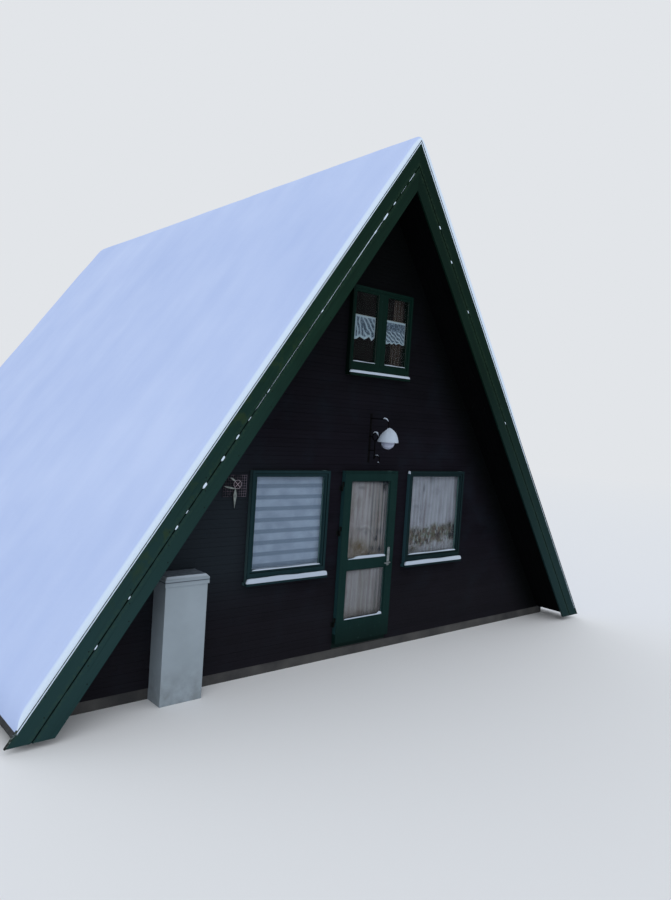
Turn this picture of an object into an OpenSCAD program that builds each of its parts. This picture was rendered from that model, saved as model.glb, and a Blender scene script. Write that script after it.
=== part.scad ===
// A-frame holiday cabin: two steep roof slopes that reach almost to the ground,
// two timber gable walls set back under the verges, a half-glazed front door.
// X runs along the front, Y runs from the front to the back, Z is up.
// The origin is on the ground, under the middle of the ridge. Units are millimetres.

/* [Cabin] */
// Height of the bargeboards' outer edges where they meet, above the ground
ridge_h = 6090; // [5600:10:6600]
// Slope of the roof in degrees
roof_pitch = 55; // [52:0.5:58]
// Length from the front bargeboards to the back ones
cabin_l = 9100; // [7500:50:12000]
// Distance from the face of the bargeboards back to the gable wall
wall_recess = 485; // [430:1:700]
// Thickness of the gable walls
wall_t = 160; // [130:5:240]
// Height of the concrete base
base_h = 120; // [90:5:200]
// Thickness of the ground floor on the base
floor_t = 60; // [40:5:120]
// Top of the doors and ground-floor windows, above the ground
head_h = 2250; // [2230:10:2330]
// Thickness of the loft floor
loft_t = 180; // [120:5:240]
// Clear height of the ground-floor room
room_h = 2220; // [2180:10:2300]

/* [Roof] */
// Thickness of each roof slope, square to it
roof_t = 260; // [200:5:300]
// Clearance between the roof slopes and the walls, floors and snow that lie along them
slope_gap = 0.3; // [0.2:0.1:0.6]
// Rise of the bargeboards' outer edges over the roof surface
verge_rise = 20; // [10:1:40]
// Thickness of the bargeboards
board_t = 24; // [18:1:32]
// Width of the upper bargeboards
upper_board_w = 160; // [120:5:200]
// Open joint between the two bargeboards of a verge
board_gap = 10; // [6:1:16]
// Width of the lower bargeboards
lower_board_w = 150; // [130:5:200]
// Height of the bargeboards' feet above the ground
board_foot_h = 60; // [30:5:110]
// Thickness of the metal strip on the bargeboards' edges
flashing_t = 6; // [4:1:10]
// Overhang of that strip in front of the boards
flashing_lip = 8; // [4:1:20]
// Thickness of the roof covering and of the ridge cap
cover_t = 8; // [4:1:12]
// Half-width of the ridge cap
cap_half_w = 150; // [100:5:220]
// Depth of the snow on the roof, square to it
snow_t = 100; // [70:5:160]
// Width of the snow's bevelled rim
snow_rim = 70; // [40:5:120]
// Foot of the snow above the concrete base
snow_foot = 40; // [20:5:100]

/* [Door] */
// Width of the door leaf and of the frame that it closes on
door_w = 876; // [850:2:900]
// Face width of the door frame
door_frame_w = 45; // [36:1:60]
// Depth of the door frame
door_frame_d = 100; // [90:1:130]
// Height of the threshold over the floor
threshold_h = 20; // [12:1:30]
// Height of the drip cap over the door leaf
drip_cap_h = 20; // [14:1:30]
// Thickness of the door leaf
leaf_t = 54; // [44:1:54]
// Clearance between the door leaf and its frame
leaf_gap = 5; // [5:1:6]
// Width of the door leaf's stiles
stile_w = 112; // [100:1:130]
// Height of the door leaf's top rail
top_rail_h = 90; // [80:1:110]
// Height of the door leaf's middle rail
mid_rail_h = 128; // [100:1:150]
// Top of the middle rail above the threshold
mid_rail_top = 990; // [940:5:1040]
// Height of the door leaf's bottom rail
bottom_rail_h = 275; // [240:1:320]

/* [Door furniture] */
// Radius of the hinge knuckles
knuckle_r = 8.5; // [7:0.5:10]
// Height of one hinge
hinge_h = 110; // [90:2:130]
// Radius of the hinge pins
pin_r = 4; // [3:0.5:5]
// Clearance between a pin and its knuckle
pin_gap = 0.3; // [0.2:0.1:0.5]
// Width of a hinge flap
flap_w = 34; // [26:1:38]
// Thickness of a hinge flap
flap_t = 3; // [2:0.5:4]
// Clearance between the hinge knuckles and the leaf's edge
knuckle_gap = 1.5; // [1:0.5:2]
// Foot of the lowest hinge above the leaf's foot
low_hinge_z = 200; // [140:5:280]
// Foot of the middle hinge above the leaf's foot
mid_hinge_z = 1295; // [1220:5:1370]
// Foot of the top hinge under the leaf's head
top_hinge_drop = 215; // [175:5:285]
// Distance from the leaf's lock edge to the middle of the handle
handle_edge = 83; // [75:1:95]
// Width of the handle's plate
plate_w = 40; // [30:1:50]
// Height of the handle's plate
plate_h = 230; // [180:5:260]
// Thickness of the handle's plate
plate_t = 6; // [4:1:10]
// Height of the lever above the threshold
lever_h = 915; // [905:1:935]
// Height of the lever above its plate's foot
lever_up = 45; // [30:1:60]
// Height of the lock above the lever
lock_up = 92; // [72:2:100]
// Radius of the lock
lock_r = 9; // [7:0.5:12]
// How far the lock stands out of its plate
lock_out = 8; // [4:1:12]
// Length of the lever
lever_l = 110; // [90:1:130]
// Radius of the lever
lever_r = 8; // [6:0.5:10]
// Distance from the plate to the middle of the lever
lever_reach = 45; // [35:1:55]

/* [Windows] */
// Width of a ground-floor window
window_w = 1070; // [900:10:1100]
// Height of a ground-floor window
window_h = 1200; // [1000:10:1300]
// Distance from the middle of the front to the middle of a ground-floor window
window_x = 1206; // [1180:1:1260]
// Width of the upper window
upper_w = 1000; // [800:10:1100]
// Height of the upper window
upper_h = 1013; // [900:1:1100]
// How far the upper window's middle is below the middle of the gable room
upper_drop = 174; // [120:2:230]
// Face width of a window frame
frame_w = 30; // [24:1:40]
// Depth of a window frame
frame_d = 120; // [112:1:140]
// Height of a window frame's bottom bar
frame_foot_h = 95; // [75:1:110]
// Face width of a ground-floor sash
sash_w = 28; // [24:1:50]
// Depth of a sash
sash_d = 60; // [50:1:66]
// Set-back of a sash behind its frame's face
sash_back = 10; // [5:1:14]
// Width of the upper sashes' meeting stiles
meeting_w = 72; // [60:1:90]
// Gap between the two upper sashes
sash_gap = 3; // [2:1:5]
// Height of the upper sashes' bottom rails
upper_rail_h = 38; // [30:1:60]
// How far frames stand out of the wall
frame_proud = 60; // [60:1:70]
// Thickness of the glass units
glass_t = 24; // [16:1:28]
// Set-back of the glass behind the face of its sash or leaf
glass_back = 14; // [10:1:18]
// Thickness of a window sill
sill_t = 30; // [20:1:40]
// Fall of a sill's top from the wall to its front edge
sill_fall = 6; // [3:1:12]
// How far a sill stands out of the wall
sill_out = 91; // [85:1:115]
// Extra length of a ground-floor sill past each side of its window
sill_past = 20; // [10:1:30]

/* [Curtains] */
// Thickness of the net curtains in the door
net_t = 8; // [6:1:10]
// Clearance round a curtain
net_gap = 3; // [2:1:3]
// Radius of the curtain rods
rod_r = 4; // [3:0.5:4]
// Thickness of the curtains behind the windows
curtain_t = 20; // [14:1:24]
// Radius of the roller blind's tube
roller_r = 20; // [14:1:22]
// Thickness of the roller blind's cloth
blind_t = 4; // [3:1:6]
// Height of the lace strips in the upper window
lace_h = 300; // [240:5:340]
// Foot of the lace strips above the foot of the upper window
lace_z = 392; // [360:1:420]
// Width of the side curtain in the upper window
side_curtain_w = 190; // [140:5:230]
// Middle of the side curtain to the right of the window's middle
side_curtain_x = 305; // [290:5:310]

/* [Wall lamp] */
// Middle of the lamp beside the middle of the door
lamp_x = -40; // [-80:5:80]
// Foot of the bracket's wall plate above the door frame
lamp_z = 100; // [80:5:140]
// Height of the shade's rim above the door frame
rim_z = 365; // [340:5:390]
// Distance from the wall to the middle of the shade
lamp_reach = 318; // [290:2:330]
// Radius of the shade
shade_r = 126; // [116:1:140]
// Height of the shade
shade_h = 110; // [110:5:140]
// Thickness of the shade
shade_t = 5; // [3:1:8]
// Height of the collar on top of the shade
collar_h = 17; // [12:1:24]
// Radius of the collar and of the lamp holder
holder_r = 24; // [18:1:30]
// Radius of the glass globe
globe_r = 82; // [66:2:82]
// Height of the globe's neck
neck_h = 10; // [8:1:13]
// Wall of the holder round the globe's neck
neck_in = 3; // [2:1:5]
// Thickness of the bracket's bars
bar_t = 10; // [8:1:12]
// Width of the bracket's wall plate
lamp_plate_w = 30; // [24:1:40]
// How far the wall plate reaches past the arm
lamp_plate_past = 60; // [40:5:80]
// Height of the arm's straight end above the collar
arm_drop = 68; // [50:2:80]
// Radius of the arm's bend
bend_r = 75; // [60:1:90]
// Radius of the ring under the arm
ring_r = 45; // [38:1:52]
// Distance from the arm down to the ring's middle
ring_drop = 215; // [195:5:230]
// Radius of the scroll at the bracket's foot
curl_r = 48; // [40:1:54]
// Distance from the ring's middle down to the scroll's middle
curl_drop = 273; // [250:1:285]
// Distance from the wall to the ring's middle and to the bar under it
stem_out = 101; // [90:1:110]
// Height of the stud that holds that bar, above the scroll's middle
stud_up = 100; // [80:5:120]
// Radius of the ball at the scroll's end
ball_r = 9; // [7:0.5:11]
// Turn of the scroll from the stem to the ball, in degrees
curl_turn = 226; // [215:1:240]

/* [Wall ornament] */
// Width of the wire trellis
trellis_w = 300; // [240:10:340]
// Height of the wire trellis
trellis_h = 230; // [180:10:280]
// Distance between the trellis wires
trellis_pitch = 28; // [20:1:40]
// Thickness of the trellis wires
wire_t = 4; // [3:0.5:6]
// Distance of the trellis from the wall
trellis_out = 20; // [12:1:30]
// Distance between the trellis and the left window
trellis_side = 32; // [20:1:60]
// Distance from the trellis's outer top corner to the roof slope
trellis_gap = 309; // [280:1:340]
// Middle of the star to the right of the trellis's middle
star_x = 19; // [0:1:30]
// Middle of the star above the trellis's foot
star_z = 130; // [110:5:150]
// Outer radius of the star's ring
star_r = 47; // [40:1:54]
// Width of the star's ring and of the bars that cross it
star_bar = 3.5; // [3:0.5:6]
// Distance between the crossing bars
star_pitch = 22; // [18:1:26]
// Thickness of the star
star_t = 6; // [4:1:8]
// Length of the star's long ray
ray_l = 217; // [180:5:240]
// Width of the star's long ray
ray_w = 42; // [30:1:50]
// Widest place of the long ray, as a part of its length
ray_waist = 0.35; // [0.25:0.05:0.5]
// Length of the lower leaf
low_leaf_l = 147; // [110:1:160]
// Slope of the lower leaf in degrees
low_leaf_slope = 11; // [5:1:20]
// Length of the upper leaf
top_leaf_l = 78; // [60:1:100]
// Slope of the upper leaf in degrees
top_leaf_slope = 29; // [20:1:40]
// Width of the leaves
leaf_w = 18; // [12:1:24]

/* [Meter cabinet] */
// Width of the meter cabinet
meter_w = 450; // [400:10:520]
// Depth of the meter cabinet
meter_d = 250; // [220:5:300]
// Height of the meter cabinet with its lid
meter_h = 1250; // [1150:10:1300]
// Distance from the cabinet's outer top edge to the roof slope
meter_gap = 269; // [220:1:300]
// Height of the cabinet's lid
lid_h = 95; // [80:5:120]
// How far the lid reaches past the cabinet's sides and front
lid_past = 12; // [8:1:20]
// Bevel on the lid's edges
lid_bevel = 30; // [20:1:40]

/* [Hidden] */
$fn = 48;
// Extra length of a cut past the faces that it goes through
past = 1;
y_front = -cabin_l / 2;
y_wall = y_front + wall_recess;
y_wall_in = y_wall + wall_t;
floor_top = base_h + floor_t;
loft_z = floor_top + room_h;
roof_in = verge_rise + roof_t;
under_roof = roof_in + slope_gap;
lower_board_at = upper_board_w + board_gap;
boards_w = lower_board_at + lower_board_w;
frame_y = y_wall - frame_proud;
door_z = floor_top + threshold_h;
leaf_x0 = -door_w / 2;
leaf_x1 = door_w / 2;
leaf_z0 = floor_top + leaf_gap;
leaf_z1 = head_h - drip_cap_h - leaf_gap;
jamb_y = frame_y + leaf_t + leaf_gap;
pin_x = leaf_x0 - knuckle_r - knuckle_gap;
pin_y = frame_y + leaf_t / 2;
pane_x0 = leaf_x0 + stile_w;
pane_x1 = leaf_x1 - stile_w;
lower_pane_z0 = leaf_z0 + bottom_rail_h;
lower_pane_z1 = door_z + mid_rail_top - mid_rail_h;
upper_pane_z0 = door_z + mid_rail_top;
upper_pane_z1 = leaf_z1 - top_rail_h;
hinge_places = [leaf_z0 + low_hinge_z, leaf_z0 + mid_hinge_z, leaf_z1 - top_hinge_drop];
window_z = head_h - window_h;
handle_x = leaf_x1 - handle_edge;
shade_z = head_h + rim_z;
arm_z = shade_z + shade_h + collar_h + arm_drop + bend_r;
ring_z = arm_z - ring_drop;
curl_z = ring_z - curl_drop;
net_y = frame_y + glass_back + glass_t + net_gap;
room_y = frame_y + sash_back + sash_d + net_gap;
// Power of the shade's outline, from its rim to its top
dome_power = 1.6;
green = "#1f3b34";
dark_wood = "#211d24";
white = "#eef2f8";

// Vertical drop that goes with a distance square to the roof
function drop(w) = w / cos(roof_pitch);
// Height at which a line w inside the verge line meets the ridge's middle plane
function apex(w) = ridge_h - drop(w);
// Half-width of the cabin at height z, w inside the verge line
function half_at(z, w) = (apex(w) - z) / tan(roof_pitch);

meter_x = half_at(meter_h, roof_in) - meter_gap - meter_w / 2;
upper_z = (loft_z + loft_t + apex(roof_in) - upper_h) / 2 - upper_drop;
trellis_x = window_x + window_w / 2 + trellis_side + trellis_w / 2;
trellis_z = apex(roof_in) - (trellis_x + trellis_w / 2 + trellis_gap) * tan(roof_pitch) - trellis_h;

// Extrudes an outline in the XZ plane from y0 to y1
module along_y(y0, y1) {
    translate([0, y1, 0])
        rotate([90, 0, 0])
            linear_extrude(y1 - y0)
                children();
}

// Puts the children at the back of the cabin, turned to face backwards
module at_back() {
    mirror([0, 1, 0]) children();
}

// Band of the right-hand slope between two distances inside the verge line
module slope_band(w0, w1, foot_z) {
    polygon([[0, apex(w0)], [half_at(foot_z, w0), foot_z],
             [half_at(foot_z, w1), foot_z], [0, apex(w1)]]);
}

// Outline of the room under the slopes between two heights
module room_outline(z0, z1) {
    polygon([[-half_at(z0, under_roof), z0], [half_at(z0, under_roof), z0],
             [half_at(z1, under_roof), z1], [-half_at(z1, under_roof), z1]]);
}

module box(x0, x1, y0, y1, z0, z1) {
    translate([x0, y0, z0]) cube([x1 - x0, y1 - y0, z1 - z0]);
}

module foundation() {
    edge = half_at(base_h, roof_in) + roof_t / 2;
    color("#8d8c88") box(-edge, edge, y_wall, -y_wall, 0, base_h);
}

module ground_floor() {
    color("#8a6b4a") along_y(y_wall_in, -y_wall_in) room_outline(base_h, floor_top);
}

module loft_floor() {
    color("#9a7a55") along_y(y_wall_in, -y_wall_in) room_outline(loft_z, loft_z + loft_t);
}

module roof_right() {
    color("#3a3a3d")
        along_y(y_front + board_t, -y_front - board_t) slope_band(verge_rise, roof_in, base_h);
}

module roof_left() {
    mirror([1, 0, 0]) roof_right();
}

module ridge_cap() {
    slope = tan(roof_pitch) * cap_half_w;
    top = apex(verge_rise - cover_t);
    low = apex(verge_rise);
    color("#2c2e30") along_y(y_front + board_t, -y_front - board_t)
        polygon([[0, top], [cap_half_w, top - slope], [cap_half_w, low - slope], [0, low],
                 [-cap_half_w, low - slope], [-cap_half_w, top - slope]]);
}

module roof_covering_right() {
    slope = tan(roof_pitch) * cap_half_w;
    top = apex(verge_rise - cover_t) - slope;
    low = apex(verge_rise) - slope;
    color("#2c2e30") along_y(y_front + board_t, -y_front - board_t)
        polygon([[cap_half_w, top], [half_at(base_h, verge_rise - cover_t), base_h],
                 [half_at(base_h, verge_rise), base_h], [cap_half_w, low]]);
}

module roof_covering_left() {
    mirror([1, 0, 0]) roof_covering_right();
}

// One side of a gable wall at the ground floor, with a notch for its window
module side_wall() {
    along_y(y_wall, y_wall_in)
        difference() {
            polygon([[door_w / 2, base_h], [half_at(base_h, under_roof), base_h],
                     [half_at(head_h, under_roof), head_h], [door_w / 2, head_h]]);
            translate([window_x - window_w / 2, window_z]) square([window_w, window_h + past]);
        }
}

module gable_wall() {
    along_y(y_wall, y_wall_in)
        difference() {
            polygon([[-half_at(head_h, under_roof), head_h],
                     [half_at(head_h, under_roof), head_h], [0, apex(under_roof)]]);
            translate([-upper_w / 2, upper_z]) square([upper_w, upper_h]);
        }
}

module front_wall_right() {
    color(dark_wood) side_wall();
}

module front_wall_left() {
    color(dark_wood) mirror([1, 0, 0]) side_wall();
}

module front_gable_wall() {
    color(dark_wood) gable_wall();
}

module back_wall() {
    color(dark_wood) at_back() {
        side_wall();
        mirror([1, 0, 0]) side_wall();
        box(-door_w / 2, door_w / 2, y_wall, y_wall_in, base_h, head_h);
    }
}

module back_gable_wall() {
    color(dark_wood) at_back() gable_wall();
}

module bargeboards() {
    along_y(y_front, y_front + board_t) {
        slope_band(0, upper_board_w, board_foot_h);
        slope_band(lower_board_at, boards_w, board_foot_h);
    }
}

module front_bargeboards_right() {
    color(green) bargeboards();
}

module front_bargeboards_left() {
    color(green) mirror([1, 0, 0]) bargeboards();
}

module back_bargeboards_right() {
    color(green) at_back() bargeboards();
}

module back_bargeboards_left() {
    color(green) at_back() mirror([1, 0, 0]) bargeboards();
}

module flashing() {
    along_y(y_front - flashing_lip, y_front + board_t) {
        slope_band(-flashing_t, 0, board_foot_h);
        mirror([1, 0]) slope_band(-flashing_t, 0, board_foot_h);
    }
}

module front_flashing() {
    color("#20282a") flashing();
}

module back_flashing() {
    color("#20282a") at_back() flashing();
}

// Frame behind the leaf's rim, standing on the base, with a drip cap over the leaf
module door_frame() {
    half = door_w / 2;
    inner = half - door_frame_w;
    color(green) {
        difference() {
            box(-half, half, jamb_y, jamb_y + door_frame_d, base_h, head_h);
            box(-inner, inner, jamb_y - past, jamb_y + door_frame_d + past, door_z,
                head_h - door_frame_w);
        }
        box(-half, half, frame_y, jamb_y + past, head_h - drip_cap_h, head_h);
    }
}

module door_leaf() {
    color(green) difference() {
        box(leaf_x0, leaf_x1, frame_y, frame_y + leaf_t, leaf_z0, leaf_z1);
        box(pane_x0, pane_x1, frame_y - past, frame_y + leaf_t + past, lower_pane_z0, lower_pane_z1);
        box(pane_x0, pane_x1, frame_y - past, frame_y + leaf_t + past, upper_pane_z0, upper_pane_z1);
    }
}

module door_glass() {
    y0 = frame_y + glass_back;
    color("#a9c4cf", 0.4) {
        box(pane_x0, pane_x1, y0, y0 + glass_t, lower_pane_z0, lower_pane_z1);
        box(pane_x0, pane_x1, y0, y0 + glass_t, upper_pane_z0, upper_pane_z1);
    }
}

// Cloth between x0 and x1 under a rod that reaches past it by its clearance
module hung_cloth(x0, x1, y0, t, z0, z1) {
    box(x0 + net_gap, x1 - net_gap, y0, y0 + t, z0, z1 - net_gap - rod_r);
    translate([x0, y0 + t / 2, z1 - net_gap - rod_r])
        rotate([0, 90, 0]) cylinder(h = x1 - x0, r = rod_r);
}

module door_curtain() {
    color("#cfc8bd") {
        hung_cloth(pane_x0, pane_x1, net_y, net_t, lower_pane_z0 + net_gap, lower_pane_z1);
        hung_cloth(pane_x0, pane_x1, net_y, net_t, upper_pane_z0 + net_gap, upper_pane_z1);
    }
}

// Plate, neck and lever on one face of the leaf, which lies in the plane y = 0
module handle_side() {
    plate_z = door_z + lever_h - lever_up;
    box(handle_x - plate_w / 2, handle_x + plate_w / 2, -plate_t, 0, plate_z, plate_z + plate_h);
    translate([handle_x, -plate_t - lever_reach, door_z + lever_h]) {
        rotate([-90, 0, 0]) cylinder(h = lever_reach + plate_t, r = lever_r);
        sphere(r = lever_r);
        rotate([0, -90, 0]) cylinder(h = lever_l, r = lever_r);
        translate([-lever_l, 0, 0]) sphere(r = lever_r);
    }
    translate([handle_x, 0, door_z + lever_h + lock_up])
        rotate([90, 0, 0]) cylinder(h = plate_t + lock_out, r = lock_r);
}

module door_handle() {
    color("#b9bcbf") {
        translate([0, frame_y, 0]) handle_side();
        translate([0, frame_y + leaf_t, 0]) mirror([0, 1, 0]) handle_side();
    }
}

// Lower knuckles with their pins, on webs that stand on plates beside the door
module door_hinges_frame() {
    color("#2b2f31") for (z = hinge_places) {
        translate([pin_x, pin_y, z]) {
            cylinder(h = hinge_h / 2, r = knuckle_r);
            cylinder(h = hinge_h - flap_t, r = pin_r);
        }
        box(pin_x - flap_t / 2, pin_x + flap_t / 2, pin_y, y_wall, z, z + hinge_h / 2);
        box(pin_x - flap_w, pin_x + flap_t / 2, y_wall - flap_t, y_wall, z, z + hinge_h / 2);
    }
}

// Upper knuckles that lift off the pins, on plates along the leaf's edge
module door_hinges_leaf() {
    color("#2b2f31") for (z = hinge_places) {
        upper_z0 = z + hinge_h / 2 + pin_gap;
        difference() {
            union() {
                translate([pin_x, pin_y, upper_z0]) cylinder(h = hinge_h / 2 - pin_gap, r = knuckle_r);
                box(leaf_x0 - flap_t, leaf_x0, pin_y - flap_w / 2, pin_y + flap_w / 2, upper_z0,
                    z + hinge_h);
            }
            translate([pin_x, pin_y, z]) cylinder(h = hinge_h + past, r = pin_r + pin_gap);
        }
    }
}

// Frame of a ground-floor window with its sash, standing on z = 0 about x = 0
module window_frame() {
    half = window_w / 2;
    difference() {
        box(-half, half, frame_y, frame_y + frame_d, 0, window_h);
        box(-half + frame_w, half - frame_w, frame_y - past, frame_y + sash_back,
            frame_foot_h, window_h - frame_w);
        box(-half + frame_w, half - frame_w, frame_y + sash_back + sash_d,
            frame_y + frame_d + past, frame_foot_h, window_h - frame_w);
        box(-half + frame_w + sash_w, half - frame_w - sash_w, frame_y, frame_y + frame_d,
            frame_foot_h + sash_w, window_h - frame_w - sash_w);
    }
}

module window_glass() {
    half = window_w / 2 - frame_w - sash_w;
    y0 = frame_y + sash_back + glass_back;
    box(-half, half, y0, y0 + glass_t, frame_foot_h + sash_w, window_h - frame_w - sash_w);
}

// Sill of length w under a window, with its top at z = 0 and a fall to the front
module window_sill(w) {
    translate([-w / 2, 0, 0])
        rotate([90, 0, 90])
            linear_extrude(w)
                polygon([[y_wall, 0], [y_wall, -sill_t], [y_wall - sill_out, -sill_t],
                         [y_wall - sill_out, -sill_fall], [frame_y, 0]]);
}

module window_left_frame() {
    color(green) translate([-window_x, 0, window_z]) window_frame();
}

module window_left_glass() {
    color("#a9c4cf", 0.4) translate([-window_x, 0, window_z]) window_glass();
}

module window_left_sill() {
    color(green) translate([-window_x, 0, window_z]) window_sill(window_w + 2 * sill_past);
}

module window_left_blind() {
    half = window_w / 2 - frame_w;
    tube_z = window_h - frame_w - net_gap - roller_r;
    color("#b8c0cf") translate([-window_x, room_y, window_z]) {
        translate([-half, roller_r, tube_z]) rotate([0, 90, 0]) cylinder(h = 2 * half, r = roller_r);
        box(-half + net_gap, half - net_gap, 0, blind_t, frame_foot_h + net_gap, tube_z);
    }
}

module window_right_frame() {
    color(green) translate([window_x, 0, window_z]) window_frame();
}

module window_right_glass() {
    color("#a9c4cf", 0.4) translate([window_x, 0, window_z]) window_glass();
}

module window_right_sill() {
    color(green) translate([window_x, 0, window_z]) window_sill(window_w + 2 * sill_past);
}

module window_right_curtain() {
    half = window_w / 2 - frame_w;
    color("#d9d6d2") translate([window_x, 0, window_z])
        hung_cloth(-half, half, room_y, curtain_t, frame_foot_h + net_gap, window_h - frame_w);
}

// Frame of the upper window, standing on z = 0
module upper_frame() {
    half = upper_w / 2;
    difference() {
        box(-half, half, frame_y, frame_y + frame_d, 0, upper_h);
        box(-half + frame_w, half - frame_w, frame_y - past, frame_y + frame_d + past,
            frame_foot_h, upper_h - frame_w);
    }
}

upper_sash_x0 = sash_gap / 2;
upper_sash_x1 = upper_w / 2 - frame_w;
upper_pane_foot = frame_foot_h + upper_rail_h;
upper_pane_head = upper_h - frame_w - sash_w;

// Right-hand sash of the upper window, touching its frame
module upper_sash() {
    y0 = frame_y + sash_back;
    difference() {
        box(upper_sash_x0, upper_sash_x1, y0, y0 + sash_d, frame_foot_h, upper_h - frame_w);
        box(upper_sash_x0 + meeting_w, upper_sash_x1 - sash_w, y0 - past, y0 + sash_d + past,
            upper_pane_foot, upper_pane_head);
    }
}

module upper_pane() {
    y0 = frame_y + sash_back + glass_back;
    box(upper_sash_x0 + meeting_w, upper_sash_x1 - sash_w, y0, y0 + glass_t,
        upper_pane_foot, upper_pane_head);
}

module both_sides() {
    children();
    mirror([1, 0, 0]) children();
}

module window_upper_frame() {
    color(green) translate([0, 0, upper_z]) upper_frame();
}

module window_upper_sashes() {
    color(green) translate([0, 0, upper_z]) both_sides() upper_sash();
}

module window_upper_glass() {
    color("#a9c4cf", 0.4) translate([0, 0, upper_z]) both_sides() upper_pane();
}

module window_upper_sill() {
    color(green) translate([0, 0, upper_z]) window_sill(upper_w);
}

module window_upper_lace() {
    y0 = frame_y + sash_back + glass_back + glass_t + net_gap;
    color(white) translate([0, 0, upper_z]) both_sides()
        hung_cloth(upper_sash_x0 + meeting_w, upper_sash_x1 - sash_w, y0, net_t,
            lace_z, lace_z + lace_h);
}

module window_upper_curtain() {
    half = upper_w / 2 - frame_w;
    rod_z = upper_h - frame_w - net_gap - rod_r;
    foot = frame_foot_h + net_gap;
    color("#8c6f5c") translate([0, room_y, upper_z]) {
        translate([-half, curtain_t / 2, rod_z]) rotate([0, 90, 0]) cylinder(h = 2 * half, r = rod_r);
        translate([side_curtain_x, 0, 0])
            box(-side_curtain_w / 2, side_curtain_w / 2, 0, curtain_t, foot, rod_z);
    }
}

module back_window_frames() {
    color(green) at_back() {
        both_sides() translate([window_x, 0, window_z]) window_frame();
    }
}

module back_upper_window_frame() {
    color(green) at_back() translate([0, 0, upper_z]) {
        upper_frame();
        both_sides() upper_sash();
    }
}

module back_window_glass() {
    color("#a9c4cf", 0.4) at_back() {
        both_sides() translate([window_x, 0, window_z]) window_glass();
        translate([0, 0, upper_z]) both_sides() upper_pane();
    }
}

module back_window_sills() {
    color(green) at_back() {
        both_sides() translate([window_x, 0, window_z]) window_sill(window_w + 2 * sill_past);
        translate([0, 0, upper_z]) window_sill(upper_w);
    }
}

// Square bar bent to an arc about the point y, z, from one angle to another
module arc_bar(y, z, r, from, to) {
    translate([0, y, z])
        rotate([90, 0, 90])
            rotate([0, 0, from])
                rotate_extrude(angle = to - from)
                    translate([r - bar_t / 2, -bar_t / 2]) square(bar_t);
}

// Square bar between two corners of its outline in the YZ plane
module straight_bar(y0, y1, z0, z1) {
    box(-bar_t / 2, bar_t / 2, y0, y1, z0, z1);
}

// Wall plate, arm bent down to the shade, ring and foot scroll with a ball at its end
module lamp_bracket() {
    half = bar_t / 2;
    bend_y = bend_r - lamp_reach;
    curl_y = -stem_out - curl_r;
    color("#121214") translate([lamp_x, y_wall, 0]) {
        box(-lamp_plate_w / 2, lamp_plate_w / 2, -bar_t, 0, head_h + lamp_z, arm_z + lamp_plate_past);
        straight_bar(bend_y, -half, arm_z - half, arm_z + half);
        arc_bar(bend_y, arm_z - bend_r, bend_r, 90, 180);
        straight_bar(-lamp_reach - half, -lamp_reach + half, arm_z - bend_r - arm_drop, arm_z - bend_r);
        arc_bar(-stem_out, ring_z, ring_r, 0, 360);
        straight_bar(ring_r - stem_out, -half, ring_z - half, ring_z + half);
        straight_bar(-stem_out - half, -stem_out + half, curl_z, ring_z - ring_r + half / 2);
        straight_bar(-stem_out, -half, curl_z + stud_up, curl_z + stud_up + bar_t);
        arc_bar(curl_y, curl_z, curl_r, 0, curl_turn);
        translate([0, curl_y + curl_r * cos(curl_turn), curl_z + curl_r * sin(curl_turn)])
            sphere(r = ball_r);
    }
}

// Enamelled dome with a collar on top and the lamp holder inside
module lamp_shade() {
    in_r = shade_r - shade_t;
    in_h = shade_h - shade_t;
    holder_z = globe_r + neck_h;
    translate([lamp_x, y_wall - lamp_reach, shade_z]) color("#dfe5ec") {
        rotate_extrude()
            polygon([for (a = [0:10:90]) [shade_r * cos(a), shade_h * pow(sin(a), dome_power)],
                     for (a = [90:-10:0]) [in_r * cos(a), in_h * pow(sin(a), dome_power)]]);
        translate([0, 0, holder_z])
            cylinder(h = shade_h + collar_h - holder_z, r = holder_r);
    }
}

module lamp_globe() {
    color("#f3f3ee") translate([lamp_x, y_wall - lamp_reach, shade_z]) {
        sphere(r = globe_r);
        cylinder(h = globe_r + neck_h, r = holder_r - neck_in);
    }
}

// Wire lattice on two feet at its lower corners
module wall_trellis() {
    columns = floor(trellis_w / trellis_pitch);
    rows = floor(trellis_h / trellis_pitch);
    wide = columns * trellis_pitch + wire_t;
    high = rows * trellis_pitch + wire_t;
    y0 = y_wall - trellis_out;
    color("#39404a") translate([-trellis_x - trellis_w / 2, 0, trellis_z]) {
        for (i = [0:columns])
            box(i * trellis_pitch, i * trellis_pitch + wire_t, y0, y0 + wire_t, 0, high);
        for (j = [0:rows])
            box(0, wide, y0, y0 + wire_t, j * trellis_pitch, j * trellis_pitch + wire_t);
        box(0, wire_t, y0, y_wall, 0, wire_t);
        box(wide - wire_t, wide, y0, y_wall, 0, wire_t);
    }
}

// Leaf outline of a length and leaf_w, from two equal arcs, with its root at the origin
module leaf_outline(length) {
    arc_r = (length * length / 4 + leaf_w * leaf_w / 4) / leaf_w;
    intersection() {
        translate([length / 2, arc_r - leaf_w / 2]) circle(r = arc_r, $fn = 180);
        translate([length / 2, leaf_w / 2 - arc_r]) circle(r = arc_r, $fn = 180);
    }
}

// Flat piece of the star, placed from the middle of its ring
module star_piece(x, z) {
    translate([x, 0, z])
        rotate([90, 0, 0])
            linear_extrude(star_t)
                children();
}

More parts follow.
